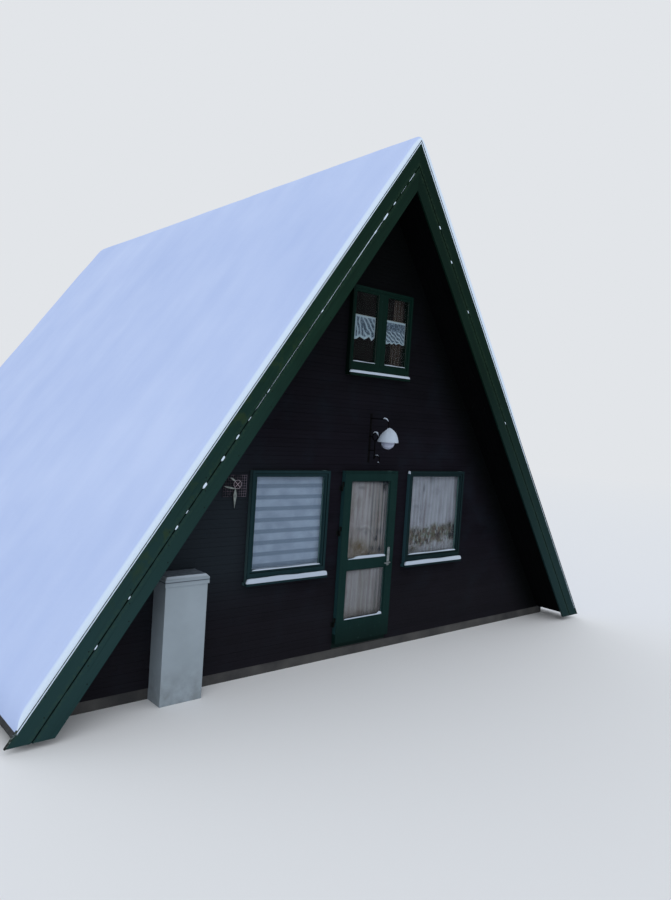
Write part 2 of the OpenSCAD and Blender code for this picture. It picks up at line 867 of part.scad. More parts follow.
// Ring with crossing bars, two leaves and a long ray, flat on the front of the trellis
module wall_star() {
    bars = floor((star_r - 2 * star_bar) / star_pitch);
    side = star_r / 2;
    rim_z = sqrt(star_r * star_r - side * side) - 2 * star_bar;
    color("#9fa6b3") translate([star_x - trellis_x, y_wall - trellis_out, trellis_z + star_z]) {
        star_piece(0, 0)
            difference() {
                circle(r = star_r);
                circle(r = star_r - star_bar);
            }
        for (turn = [45, 135], i = [-bars:bars])
            star_piece(0, 0)
                intersection() {
                    circle(r = star_r - star_bar / 2);
                    rotate(turn)
                        translate([i * star_pitch - star_bar / 2, -star_r])
                            square([star_bar, 2 * star_r]);
                }
        star_piece(-side, -rim_z)
            polygon([[0, 0], [ray_w / 2, -ray_waist * ray_l], [0, -ray_l],
                     [-ray_w / 2, -ray_waist * ray_l]]);
        star_piece(star_bar - side, -star_r) rotate(180 - low_leaf_slope) leaf_outline(low_leaf_l);
        star_piece(-side, rim_z) rotate(180 - top_leaf_slope) leaf_outline(top_leaf_l);
    }
}

module meter_cabinet() {
    color("#c3c8cf") translate([-meter_x, 0, 0])
        box(-meter_w / 2, meter_w / 2, y_wall - meter_d, y_wall, 0, meter_h - lid_h);
}

module meter_cabinet_lid() {
    half = meter_w / 2 + lid_past;
    y0 = y_wall - meter_d - lid_past;
    color("#d2d7de") translate([-meter_x, 0, meter_h - lid_h])
        hull() {
            box(-half, half, y0, y_wall, 0, lid_h - lid_bevel);
            box(-half + lid_bevel, half - lid_bevel, y0 + lid_bevel, y_wall, 0, lid_h);
        }
}

module roof_snow_right() {
    y0 = y_front + board_t;
    under = verge_rise - cover_t - slope_gap;
    foot = base_h + snow_foot;
    color(white) hull() {
        along_y(y0, -y0) slope_band(under - snow_t / 4, under, foot);
        along_y(y0 + snow_rim, -y0 - snow_rim) slope_band(under - snow_t, under, foot + snow_rim);
    }
}

module roof_snow_left() {
    mirror([1, 0, 0]) roof_snow_right();
}

foundation();
ground_floor();
loft_floor();
roof_left();
roof_right();
ridge_cap();
roof_covering_left();
roof_covering_right();
front_wall_left();
front_wall_right();
front_gable_wall();
back_wall();
back_gable_wall();
front_bargeboards_left();
front_bargeboards_right();
back_bargeboards_left();
back_bargeboards_right();
front_flashing();
back_flashing();
door_frame();
door_leaf();
door_glass();
door_handle();
door_hinges_frame();
door_hinges_leaf();
door_curtain();
window_left_frame();
window_left_glass();
window_left_sill();
window_left_blind();
window_right_frame();
window_right_glass();
window_right_sill();
window_right_curtain();
window_upper_frame();
window_upper_sashes();
window_upper_glass();
window_upper_sill();
window_upper_lace();
window_upper_curtain();
back_window_frames();
back_upper_window_frame();
back_window_glass();
back_window_sills();
lamp_bracket();
lamp_shade();
lamp_globe();
wall_trellis();
wall_star();
meter_cabinet();
meter_cabinet_lid();
roof_snow_left();
roof_snow_right();
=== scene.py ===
"""Finish of the A-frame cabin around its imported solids: boards, snow, cloth, glass and metal.
Lengths are metres. X runs along the front, Y from the front to the back, Z is up.
Colours are written as they show on a screen, from 0 to 255."""
import math
import random

import bmesh
import bpy
from mathutils import Matrix, Vector, noise


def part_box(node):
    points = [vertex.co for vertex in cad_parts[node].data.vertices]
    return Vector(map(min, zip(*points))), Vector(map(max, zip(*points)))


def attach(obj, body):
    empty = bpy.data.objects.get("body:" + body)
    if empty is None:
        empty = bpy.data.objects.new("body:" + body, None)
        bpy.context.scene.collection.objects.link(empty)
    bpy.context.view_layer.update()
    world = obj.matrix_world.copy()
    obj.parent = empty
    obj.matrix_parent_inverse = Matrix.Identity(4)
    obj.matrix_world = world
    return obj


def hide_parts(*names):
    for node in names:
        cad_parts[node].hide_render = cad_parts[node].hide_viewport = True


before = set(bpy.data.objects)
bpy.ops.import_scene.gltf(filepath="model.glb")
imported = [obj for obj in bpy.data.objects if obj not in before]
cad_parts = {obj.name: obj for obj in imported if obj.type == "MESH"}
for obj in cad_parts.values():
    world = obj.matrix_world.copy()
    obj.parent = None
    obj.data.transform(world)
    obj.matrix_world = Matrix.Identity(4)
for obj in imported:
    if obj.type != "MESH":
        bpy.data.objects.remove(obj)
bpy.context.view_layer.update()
CABIN, DOOR = "cabin", "door"
SIDES = ("left", "right")

# Camera
CAMERA_PLACE = Vector((-5.9254, -10.2854, 2.8157))
CAMERA_YAW, CAMERA_PITCH, CAMERA_ROLL = (math.radians(a) for a in (40.718, -2.274, 3.765))
FOCAL_PIXELS = 704.5
IMAGE_HEIGHT = 900
SENSOR = 36

# Light and stage
BACKGROUND = (226, 229, 233)
SKY_LIGHT = (250, 252, 255)
SKY_STRENGTH = 0.87
SUN_STRENGTH = 0.55
SUN_SIZE = math.radians(50)
SUN_TURN = (math.radians(42), math.radians(-14), math.radians(-25))
FLOOR_HALF = 160
FLOOR_FADE = (14, 45)

# Cabin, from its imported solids. ROOM_W, GAP_W and SNOW_UNDER_W are distances inside the verge line, square
# to the roof: to the rooms, to the joint between the two boards of a verge, and to the snow's underside.
verge_low, verge_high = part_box("front_bargeboards_right")
RIDGE = verge_high.z
SLOPE = (verge_high.z - verge_low.z) / verge_high.x
PITCH = math.atan(SLOPE)
FRONT = verge_low.y
BOARD_BACK = verge_high.y
FOOT = verge_low.z
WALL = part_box("front_wall_right")[0].y
FRAME_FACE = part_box("window_left_frame")[0].y
BASE_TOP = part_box("foundation")[1].z
ROOM_W = (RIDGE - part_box("front_gable_wall")[1].z) * math.cos(PITCH)
SNOW_FULL = (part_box("roof_snow_right")[1].z - RIDGE) * math.cos(PITCH)
GAP_W = 0.165

# Painted light on the side face at the right of the panes of the door and of the two lower windows, which
# shows behind the glass
PAINTED_REVEAL_LIGHT = (100, 130, 132)

# Share of the glass that is clear; the rest is a thin haze, partly dust and partly painted reflection that
# lifts the dark panes
GLASS_CLEAR = 0.9965

# Door panes, and half of the upper window's middle post
LOWER_PANE_Z1, UPPER_PANE_Z0 = 1.062, 1.19
UPPER_MIDDLE = 0.0735

# Roller blind: height of the middle of a dark band, and distance from one band to the next
BLIND_BAND, BLIND_PITCH = 2.075, 0.124

# Star on the wall trellis
STAR_R = 0.044
STAR_BAR = 0.0035
STAR_RING = 0.049
STAR_MIDDLE = (-1.904, -4.088, 2.0996)


def apex(w):
    """Height at which a line w inside the verge line meets the ridge's middle plane."""
    return RIDGE - w / math.cos(PITCH)


def half_at(z, w):
    """Half-width of the cabin at height z, w inside the verge line."""
    return (apex(w) - z) / SLOPE


def rgb(colour):
    """A screen colour from 0 to 255 as the linear colour that a shader takes."""
    def linear(c):
        c /= 255
        return c / 12.92 if c <= 0.04045 else ((c + 0.055) / 1.055) ** 2.4
    return tuple(linear(c) for c in colour) + (1.0,)


def smooth(t):
    t = min(1.0, max(0.0, t))
    return t * t * (3 - 2 * t)


def wander(*place):
    """Smooth noise from -1 to 1 at a place."""
    return noise.noise(Vector(tuple(place) + (0.5,) * (3 - len(place))))


# Materials


class Surface:
    """A node material made with short calls. Its coordinates are the object's own, in metres."""

    def __init__(self, name, rough=0.6, metal=0.0, specular=0.5):
        self.material = bpy.data.materials.new(name)
        self.material.use_nodes = True
        self.tree = self.material.node_tree
        self.shader = self.tree.nodes["Principled BSDF"]
        self.shader.inputs["Roughness"].default_value = rough
        self.shader.inputs["Metallic"].default_value = metal
        self.shader.inputs["Specular IOR Level"].default_value = specular
        self.coords = self.node("TexCoord").outputs["Object"]

    def node(self, kind, inputs=None, **settings):
        made = self.tree.nodes.new("ShaderNode" + kind)
        for key, value in settings.items():
            setattr(made, key, value)
        for key, value in (inputs or {}).items():
            self.put(made.inputs[key], value)
        return made

    def put(self, socket, value):
        if isinstance(value, bpy.types.NodeSocket):
            self.tree.links.new(value, socket)
        else:
            socket.default_value = value

    def math(self, operation, a, b=0.0, clamp=False):
        return self.node("Math", {0: a, 1: b}, operation=operation, use_clamp=clamp).outputs[0]

    def times(self, a, b):
        return self.math("MULTIPLY", a, b)

    def plus(self, a, b, clamp=False):
        return self.math("ADD", a, b, clamp)

    def most(self, a, b):
        return self.math("MAXIMUM", a, b)

    def size(self, value):
        return self.math("ABSOLUTE", value)

    def attribute(self, name):
        return self.node("Attribute", attribute_name=name).outputs["Fac"]

    def base(self):
        """The base colour so far."""
        return self.shader.inputs["Base Color"].links[0].from_socket

    def band(self, value, middle, half, soft):
        """1 within half of the middle, 0 from a further soft on."""
        away = self.size(self.math("SUBTRACT", value, middle))
        return self.ramp(away, half + soft, half)

    def axis(self, letter):
        return self.node("SeparateXYZ", {0: self.coords}).outputs[letter]

    def stretched(self, scale, turn=0.0):
        """Coordinates turned about Y and scaled along each axis."""
        turned = self.node("VectorRotate", {"Vector": self.coords, "Angle": turn},
                           rotation_type="Y_AXIS").outputs[0]
        return self.node("VectorMath", {0: turned, 1: scale}, operation="MULTIPLY").outputs[0]

    def noise(self, scale, detail=4, coords=None, rough=0.55):
        return self.node("TexNoise", {"Vector": coords or self.coords, "Scale": scale,
                                      "Detail": detail, "Roughness": rough}).outputs["Fac"]

    def ramp(self, value, low, high, to_low=0.0, to_high=1.0):
        """Value rescaled from low..high to to_low..to_high, and held there."""
        return self.node("MapRange", {"Value": value, "From Min": low, "From Max": high,
                                      "To Min": to_low, "To Max": to_high}).outputs[0]

    def mix(self, factor, a, b):
        made = self.node("Mix", data_type="RGBA")
        self.put(made.inputs[0], factor)
        self.put(made.inputs[6], rgb(a) if isinstance(a, tuple) else a)
        self.put(made.inputs[7], rgb(b) if isinstance(b, tuple) else b)
        return made.outputs[2]

    def tones(self, value, low, high, dark, light):
        """From dark to light as the value goes from low to high."""
        return self.mix(self.ramp(value, low, high), dark, light)

    def over(self, factor, colour, strength=None):
        """Lays a colour over the base colour so far where the factor, times the strength, is high."""
        share = factor if strength is None else self.times(factor, strength)
        self.colour(self.mix(share, self.base(), colour))

    def colour(self, value):
        self.put(self.shader.inputs["Base Color"], value)

    def rough(self, value):
        self.put(self.shader.inputs["Roughness"], value)

    def bump(self, height, distance, strength=1.0):
        """Adds relief of that height over the last one."""
        made = self.node("Bump", {"Height": height, "Distance": distance, "Strength": strength})
        before = self.shader.inputs["Normal"]
        if before.is_linked:
            self.put(made.inputs["Normal"], before.links[0].from_socket)
        self.put(before, made.outputs[0])

    def swap_shader(self, factor, other):
        """Puts another shader in this one's place where the factor is 1."""
        both = self.node("MixShader", {0: factor})
        self.put(both.inputs[1], self.shader.outputs[0])
        self.put(both.inputs[2], other.outputs[0])
        self.put(self.tree.nodes["Material Output"].inputs["Surface"], both.outputs[0])

    def verge_distance(self):
        """Distance square to the roof inside the verge line."""
        x = self.size(self.axis("X"))
        drop = self.math("SUBTRACT", RIDGE, self.axis("Z"))
        side = self.math("SUBTRACT", drop, self.times(x, SLOPE))
        return self.times(side, math.cos(PITCH))


def wood(name, dark, light, along=0.0, rough=0.7, specular=0.03, grain=0.0006):
    """Painted or stained wood whose grain runs at the angle along in the XZ plane."""
    s = Surface(name, rough, specular=specular)
    lines = s.noise(1.0, 7, s.stretched((2.5, 70, 70), along), 0.65)
    patches = s.noise(1.7, 3)
    stains = s.noise(1.0, 4, s.stretched((0.8, 9, 9), along))
    tone = s.plus(s.times(lines, 0.45), s.times(patches, 0.35))
    tone = s.plus(tone, s.times(stains, 0.3))
    s.colour(s.tones(tone, 0.38, 0.72, dark, light))
    s.rough(s.ramp(lines, 0.3, 0.7, rough - 0.1, rough + 0.1))
    s.bump(lines, grain)
    s.bump(patches, 0.002, 0.4)
    return s


def cladding_wood():
    """Dark stained wall boards, each in its own tone, with painted light low on the left and painted shade
    high up under the slopes and close to the right slope.
    """
    s = wood("cladding", (12, 12, 17), (25, 24, 32), 0.0, 0.72, 0.02, 0.0009)
    s.over(s.ramp(s.attribute("tone"), 0, 1, 0.0, 0.4), (25, 23, 31))
    worn = s.ramp(s.noise(2.2, 6), 0.5, 0.7, 0.0, 0.6)
    s.over(worn, (24, 29, 37))
    x, z = s.axis("X"), s.axis("Z")
    # Painted light: the boards low on the left, beside the left window, are made paler
    painted_light_left = s.times(s.ramp(x, -1.0, -1.9), s.band(z, 1.6, 0.4, 0.6))
    s.over(painted_light_left, (34, 41, 47), 0.8)
    s.over(s.ramp(z, 1.3, 0.5, 0.0, 0.5), (29, 29, 33))
    # Painted shade: darker high up towards the top of the gable
    s.over(s.ramp(z, 2.4, 3.2, 0.0, 0.4), (12, 13, 16))
    # Painted shade close under the right slope and at the top of the gable
    right = s.times(s.ramp(x, 0.2, 0.8), s.ramp(s.verge_distance(), ROOM_W + 0.5, ROOM_W + 0.1))
    painted_shade = s.most(s.ramp(z, 3.1, 4.7), right)
    s.over(painted_shade, (5, 8, 7), 0.8)
    return s


def verge_wood(name, along, dark, light, foot):
    """Green verge boards with worn paint, algae near their edges, dark tops, paler, bluer feet and painted
    shade in the open joint between their two boards.
    """
    s = wood(name, dark, light, along, 0.62)
    z = s.axis("Z")
    s.over(s.ramp(z, 3.6, 0.8, 0.0, 0.8), foot)
    s.over(s.ramp(z, 4.2, 5.6, 0.0, 0.5), (12, 31, 25))
    w = s.verge_distance()
    edge = s.ramp(w, 0.045, 0.0)
    speckle = s.ramp(s.noise(38, 5), 0.42, 0.66)
    algae = s.times(s.plus(edge, s.times(s.band(w, GAP_W, 0.02, 0.03), 0.6), True), speckle)
    s.over(algae, (56, 78, 58), 0.5)
    lichen = s.times(s.ramp(s.noise(8, 4), 0.52, 0.66), s.band(z, 2.4, 0.9, 0.6))
    outer_left = s.times(s.ramp(w, 0.15, 0.13), s.math("LESS_THAN", s.axis("X"), 0.0))
    s.over(s.times(lichen, outer_left), (46, 62, 36), 0.5)
    streak = s.ramp(s.noise(1.0, 5, s.stretched((1.2, 34, 34), along)), 0.58, 0.75)
    s.over(streak, (10, 25, 22), 0.4)
    # Painted shade in the open joint between the two boards, patchy along it and strongest low down
    open_joint = s.ramp(s.noise(9, 2), 0.4, 0.55, 0.1, 0.65)
    joint = s.times(s.band(w, GAP_W, 0.006, 0.006), s.ramp(z, 3.4, 2.4, 0.35, 1.0))
    s.over(s.times(joint, open_joint), (4, 12, 10))
    return s


def frame_wood(name, dark, light, *faces):
    """Green paint of the door or of a window and its sill, with painted light or painted shade, a paler or
    darker tone, on some of its side faces.
    Each of faces has a node, which of its ends along X, the depth where the tone starts, and the tone."""
    s = wood(name, dark, light, math.pi / 2, 0.5, 0.03, 0.0004)
    s.over(s.ramp(s.axis("Z"), 0.5, 0.15, 0.0, 0.7), (9, 22, 20))
    flakes = s.ramp(s.noise(26, 6), 0.64, 0.72)
    s.over(flakes, (46, 68, 66), 0.3)
    above = s.math("GREATER_THAN", s.axis("Z"), 0.3)
    # Painted light or painted shade on the listed side faces
    for node, end, depth, tone in faces:
        deep = s.times(above, s.math("GREATER_THAN", s.axis("Y"), FRAME_FACE + depth))
        near = s.times(s.band(s.axis("X"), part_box(node)[end].x, 0.03, 0.001), deep)
        s.over(near, tone)
    return s


def mossy_strip():
    """Dark verge strip with frost and moss caught on it."""
    s = Surface("verge_strip", 0.75, specular=0.2)
    moss = s.ramp(s.noise(34, 6), 0.5, 0.62)
    frost = s.ramp(s.noise(55, 4), 0.52, 0.6)
    s.colour(s.mix(moss, (19, 27, 25), (58, 74, 60)))
    s.over(frost, (120, 136, 140), 0.6)
    s.bump(moss, 0.003, 0.6)
    return s


def snow_surface(name, dark, light):
    """Packed fresh snow: soft hollows, a fine crust and painted light on its face at each verge."""
    s = Surface(name, 0.85, specular=0.15)
    wide = s.noise(0.55, 3)
    drift = s.noise(1.0, 4, s.stretched((0.5, 2.4, 1.2), 0.3))
    tone = s.plus(s.times(wide, 0.6), s.times(drift, 0.4))
    s.colour(s.tones(tone, 0.35, 0.66, dark, light))
    # Painted light: the snow's end faces at the verges are made paler
    end = s.ramp(s.size(s.axis("Y")), -FRONT - 0.012, -FRONT)
    s.over(end, (214, 231, 250))
    s.bump(s.noise(9, 4), 0.006, 0.5)
    s.bump(s.noise(70, 5), 0.0015, 0.5)
    return s


def concrete_surface():
    s = Surface("concrete", 0.9, specular=0.2)
    patches = s.noise(2.5, 5)
    grit = s.noise(120, 4)
    s.colour(s.tones(patches, 0.35, 0.7, (52, 53, 55), (80, 80, 80)))
    s.bump(grit, 0.002, 0.6)
    s.bump(s.ramp(s.noise(30, 3), 0.6, 0.7), 0.003, 0.4)
    return s


PINE_BOARD = 0.12


def pine_boards(name, dark, light):
    """Floor or lining boards that run from the front to the back."""
    s = Surface(name, 0.5, specular=0.3)
    place = s.math("DIVIDE", s.axis("X"), PINE_BOARD)
    board = s.node("TexWhiteNoise", {"W": s.math("FLOOR", place)},
                   noise_dimensions="1D").outputs["Value"]
    across = s.math("FRACT", place)
    joint = s.most(s.ramp(across, 0.03, 0.0), s.ramp(across, 0.97, 1.0))
    lines = s.noise(1.0, 6, s.node("VectorMath", {0: s.coords, 1: (50, 2.5, 50)},
                                   operation="MULTIPLY").outputs[0], 0.6)
    s.colour(s.tones(lines, 0.35, 0.7, dark, light))
    s.over(board, dark, 0.4)
    s.over(joint, (24, 18, 14))
    s.bump(s.math("SUBTRACT", 1.0, joint), 0.003)
    return s


def wall_core():
    """The wall solid behind the boards: dark outside, dark brown lining inside."""
    s = pine_boards("wall_core", (34, 29, 30), (56, 46, 47))
    inside = s.math("LESS_THAN", s.size(s.axis("Y")), abs(WALL) - 0.1)
    s.colour(s.mix(inside, (9, 10, 14), s.base()))
    return s


def roofing_surface():
    """Roof slope: near black under its overhang, with a browner lining over the rooms."""
    s = wood("roofing", (4, 5, 6), (10, 11, 13), PITCH, 0.8, 0.02)
    inside = s.times(s.band(s.axis("Y"), 0.0, abs(WALL) - 0.1, 0.02), s.ramp(s.axis("Z"), 0.2, 0.3))
    s.over(inside, s.mix(s.noise(4, 5), (40, 34, 38), (84, 70, 78)))
    return s


def sheet_metal(name, dark, light, rough=0.6):
    s = Surface(name, rough, metal=0.3, specular=0.3)
    wear = s.noise(6, 5)
    s.colour(s.tones(wear, 0.35, 0.7, dark, light))
    s.rough(s.ramp(s.noise(20, 4), 0.3, 0.7, rough - 0.12, rough + 0.12))
    s.bump(s.noise(45, 3), 0.0008, 0.4)
    return s


def brushed_metal(name, dark, light, rough=0.35, metal=1.0, specular=0.5):
    s = Surface(name, rough, metal=metal, specular=specular)
    lines = s.noise(1.0, 3, s.stretched((900, 900, 30)))
    smudge = s.noise(30, 4)
    s.colour(s.tones(smudge, 0.35, 0.65, dark, light))
    s.rough(s.ramp(lines, 0.3, 0.7, rough - 0.08, rough + 0.1))
    s.bump(lines, 0.0002, 0.3)
    return s


def star_metal():
    """Dull pale metal. Of the bars that cross the ring, the two in its middle are the brightest."""
    s = brushed_metal("star_metal", (104, 112, 112), (136, 144, 142), 0.55, 0.2, 0.1)
    away = s.node("VectorMath", {0: s.coords, 1: STAR_MIDDLE}, operation="SUBTRACT").outputs[0]
    reach = s.node("VectorMath", {0: away}, operation="LENGTH").outputs["Value"]
    inside = s.ramp(reach, STAR_R, STAR_R - 0.002)
    x, z, half = s.axis("X"), s.axis("Z"), STAR_BAR * math.sqrt(0.5)
    crossing = s.most(s.band(s.plus(x, z), STAR_MIDDLE[0] + STAR_MIDDLE[2], half, 0.001),
                      s.band(s.math("SUBTRACT", x, z), STAR_MIDDLE[0] - STAR_MIDDLE[2], half, 0.001))
    bars = s.mix(crossing, (70, 62, 70), (176, 162, 172))
    ring = s.math("LESS_THAN", reach, STAR_RING)
    s.colour(s.mix(inside, s.mix(ring, s.base(), (158, 150, 160)), bars))
    return s


def rusted_wire():
    """Thin wire, dull in most places and paler towards the window."""
    s = brushed_metal("wire", (24, 23, 28), (76, 68, 78), 0.5, 0.2, 0.1)
    s.over(s.ramp(s.axis("X"), -1.9, -1.8, 0.0, 0.6), (124, 116, 130))
    return s


def cast_iron():
    s = Surface("lamp_iron", 0.6, specular=0.02)
    s.colour(s.tones(s.noise(24, 5), 0.4, 0.7, (6, 6, 7), (13, 12, 14)))
    s.bump(s.noise(260, 4), 0.0007, 0.6)
    return s


def enamel():
    s = Surface("lamp_enamel", 0.25, specular=0.5)
    s.colour(s.tones(s.noise(14, 4), 0.35, 0.7, (176, 188, 204), (196, 207, 222)))
    s.bump(s.noise(40, 2), 0.0005, 0.3)
    return s


def opal():
    """Opal glass with faint level streaks."""
    s = Surface("opal_glass", 0.18, specular=0.4)
    streaks = s.noise(1.0, 4, s.stretched((4, 4, 90)))
    s.colour(s.tones(streaks, 0.35, 0.65, (146, 154, 178), (174, 182, 204)))
    s.shader.inputs["Subsurface Weight"].default_value = 0.15
    s.shader.inputs["Subsurface Radius"].default_value = (0.02, 0.02, 0.02)
    s.bump(streaks, 0.0004, 0.3)
    return s


def plastic():
    """Pale plastic, dull and darker on top of the lid, with dirt near the ground and a painted highlight
    along the lid's bevelled top edge.
    """
    s = Surface("cabinet_plastic", 0.55, specular=0.3)
    s.colour(s.tones(s.noise(3, 3), 0.35, 0.7, (138, 151, 161), (146, 159, 170)))
    z = s.axis("Z")
    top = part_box("meter_cabinet_lid")[1].z
    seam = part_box("meter_cabinet_lid")[0].z
    s.over(s.ramp(z, seam, seam + 0.03), (122, 135, 146), 0.5)
    # Painted highlight on the lid's bevelled top edge
    s.over(s.ramp(z, top - 0.03, top - 0.012, 0.0, 0.7), (176, 190, 204))
    s.over(s.band(z, top - 0.055, 0.003, 0.003), (66, 76, 86))
    # Darker, mottled top face of the lid
    lid_top_darkening = s.ramp(s.noise(16, 4), 0.3, 0.7, 0.75, 1.0)
    s.over(s.times(s.ramp(z, top - 0.004, top - 0.001), lid_top_darkening), (74, 84, 96))
    dirt = s.times(s.ramp(z, 0.4, 0.0), s.ramp(s.noise(9, 6), 0.35, 0.7))
    s.over(dirt, (84, 86, 84), 0.6)
    s.bump(s.noise(240, 3), 0.0004, 0.5)
    return s


def glass_surface():
    """Window glass that lets shadow rays through to the cloth behind it."""
    s = Surface("window_glass", 0.03)
    s.shader.inputs["Transmission Weight"].default_value = GLASS_CLEAR
    s.shader.inputs["IOR"].default_value = 1.08
    s.shader.inputs["Base Color"].default_value = rgb((228, 236, 238))
    s.bump(s.noise(4, 4), 0.0006, 0.2)
    s.rough(s.ramp(s.noise(16, 5), 0.45, 0.75, 0.02, 0.12))
    path = s.node("LightPath")
    clear = s.node("BsdfTransparent", {"Color": rgb((236, 240, 240))})
    s.swap_shader(path.outputs["Is Shadow Ray"], clear)
    return s


def weave(s, scale, distance):
    """Threads of a plain weave, up and across."""
    def threads(letter):
        turns = s.times(s.axis(letter), scale)
        return s.size(s.math("SINE", turns))
    s.bump(s.times(threads("X"), threads("Z")), distance, 0.5)


def cloth_surface(name, dark, light):
    """Woven cloth with painted shade in the bottom of its folds. The attribute fold is 0 there and 1 on top.
    """
    s = Surface(name, 0.9, specular=0.1)
    tone = s.plus(s.times(s.attribute("fold"), 0.75), s.times(s.noise(5, 4), 0.4))
    s.colour(s.tones(tone, 0.12, 0.95, dark, light))
    s.shader.inputs["Sheen Weight"].default_value = 0.1
    weave(s, 2600, 0.0004)
    return s


# Mottled border of a net curtain: the scale of its blots, the noise at which they start, and their tint
BORDER_BLOTS = ((26, 0.47, (140, 148, 144)), (17, 0.46, (106, 86, 76)),
                (21, 0.50, (90, 90, 74)), (33, 0.51, (60, 52, 58)))


def net_surface(name, dark, light, shade, stain):
    """Net curtain of fine mesh, with painted shade for the dim room behind it where the attribute dim is
    high, and painted shade of its folds in streaks and blotches of the shade tint.
    The attribute stain brings in an aged tint and the attribute motif a mottled woven border."""
    s = cloth_surface(name, dark, light)
    grain = s.ramp(s.noise(22, 4), 0.35, 0.6, 0.65, 1.0)
    # Painted shade of the folds: vertical streaks and soft blotches in the shade tint
    streaks = s.ramp(s.noise(1.0, 4, s.stretched((17, 1, 1.6)), 0.6), 0.44, 0.66, 0.0, 0.45)
    s.over(streaks, shade)
    s.over(s.ramp(s.noise(6, 3), 0.5, 0.68, 0.0, 0.35), shade)
    s.over(s.times(s.attribute("stain"), grain), stain)
    for scale, start, tint in BORDER_BLOTS:
        blots = s.ramp(s.noise(scale, 3, s.stretched((1, 1, 0.6))), start, start + 0.1, 0.0, 0.85)
        s.over(s.times(s.attribute("motif"), blots), tint)
    # Painted shade for the dim room behind the mesh
    s.over(s.attribute("dim"), (36, 42, 52))
    return s


def blind_surface():
    """Striped roller blind: dense bands and thinner, darker ones, with fine cross threads."""
    s = Surface("blind_cloth", 0.85, specular=0.1)
    wave = s.times(s.math("SUBTRACT", s.noise(2.5, 3), 0.5), 0.006)
    rise = s.plus(s.math("SUBTRACT", s.axis("Z"), BLIND_BAND - BLIND_PITCH / 2), wave)
    place = s.math("FRACT", s.math("DIVIDE", rise, BLIND_PITCH))
    lit = s.tones(s.noise(7, 5), 0.35, 0.65, (155, 165, 188), (172, 182, 205))
    dim = s.mix(s.noise(7, 5), (127, 139, 161), (137, 149, 171))
    s.colour(s.mix(s.band(place, 0.5, 0.16, 0.05), lit, dim))
    threads = s.size(s.math("SINE", s.times(s.axis("Z"), 2400)))
    s.bump(threads, 0.0005, 0.6)
    return s


def lace_surface():
    """White lace over open net with real openings, dense where the attribute white is high."""
    s = Surface("lace", 0.9, specular=0.1)
    cells = s.node("TexVoronoi", {"Vector": s.stretched((1, 0, 1)), "Scale": 70},
                   feature="DISTANCE_TO_EDGE").outputs["Distance"]
    blots = s.ramp(s.noise(42, 3), 0.5, 0.66, 0.0, 0.5)
    dense = s.most(s.attribute("white"), blots)
    s.colour(s.mix(dense, (84, 98, 116), (180, 193, 204)))
    # Painted shade in the bottom of the folds
    s.over(s.ramp(s.attribute("fold"), 0.0, 1.0, 0.25, 0.0), (84, 94, 112))
    thread = s.most(dense, s.ramp(cells, 0.16, 0.08))
    s.put(s.shader.inputs["Alpha"], s.ramp(thread, 0.0, 0.5, 0.7, 1.0))
    return s


# Meshes


def loft(rings, closed=False):
    """Vertices and faces of a skin over rings of equal length, capped at both ends unless closed."""
    count = len(rings[0])
    verts = [p for ring in rings for p in ring]
    faces = []
    for i in range(len(rings) if closed else len(rings) - 1):
        j = (i + 1) % len(rings)
        for k in range(count):
            n = (k + 1) % count
            faces.append((i * count + k, i * count + n, j * count + n, j * count + k))
    if not closed:
        last = (len(rings) - 1) * count
        faces.append(tuple(reversed(range(count))))
        faces.append(tuple(last + k for k in range(count)))
    return verts, faces


def grid(rows):
    """Vertices and faces of an open sheet over rows of equal length."""
    count = len(rows[0])
    verts = [p for row in rows for p in row]
    faces = [(i * count + k, i * count + k + 1, (i + 1) * count + k + 1, (i + 1) * count + k)
             for i in range(len(rows) - 1) for k in range(count - 1)]
    return verts, faces


def joined(parts):
    """One list of vertices and one of faces from several."""
    verts, faces = [], []
    for part_verts, part_faces in parts:
        start = len(verts)
        verts += part_verts
        faces += [tuple(start + i for i in face) for face in part_faces]
    return verts, faces


def placed(name, data):
    """A new object in the scene."""
    made = bpy.data.objects.new(name, data)
    bpy.context.scene.collection.objects.link(made)
    return made


def piece(name, shape, surface, body=CABIN, soft_angle=40, open_sheet=False):
    """A new piece of the object in its place, with its material, riding on a body."""
    mesh = bpy.data.meshes.new(name)
    mesh.from_pydata([tuple(v) for v in shape[0]], [], shape[1])
    work = bmesh.new()
    work.from_mesh(mesh)
    if not open_sheet:
        bmesh.ops.remove_doubles(work, verts=work.verts, dist=1e-6)
        bmesh.ops.recalc_face_normals(work, faces=work.faces)
    work.to_mesh(mesh)
    work.free()
    for polygon in mesh.polygons:
        polygon.use_smooth = soft_angle > 0
    if 0 < soft_angle < 180:
        mesh.set_sharp_from_angle(angle=math.radians(soft_angle))
    mesh.materials.append(surface.material)
    made = placed(name, mesh)
    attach(made, body)
    return made


def skewed(section, left, right):
    """Prism over a section in the YZ plane whose ends lie at left(z) and right(z)."""
    return loft([[(end(z), y, z) for y, z in section] for end in (left, right)])


def picture_frame(x0, x1, z0, z1, section):
    """Mitred frame inside a rectangle. The section lists how far in and which Y each edge lies."""
    corners = [(x0, z0, 1, 1), (x1, z0, -1, 1), (x1, z1, -1, -1), (x0, z1, 1, -1)]
    return loft([[(x + sx * inset, y, z + sz * inset) for inset, y in section]
                 for x, z, sx, sz in corners], closed=True)


def circle(sides):
    """Cosine and sine of angles in even steps round a circle."""
    return [(math.cos(a), math.sin(a)) for a in (2 * math.pi * k / sides for k in range(sides))]


def turned(profile, centre, sides=48):
    """Solid of revolution about the vertical through centre; the profile lists radius and height."""
    return loft([[(centre.x + r * c, centre.y + r * s, centre.z + h) for r, h in profile]
                 for c, s in circle(sides)], closed=True)


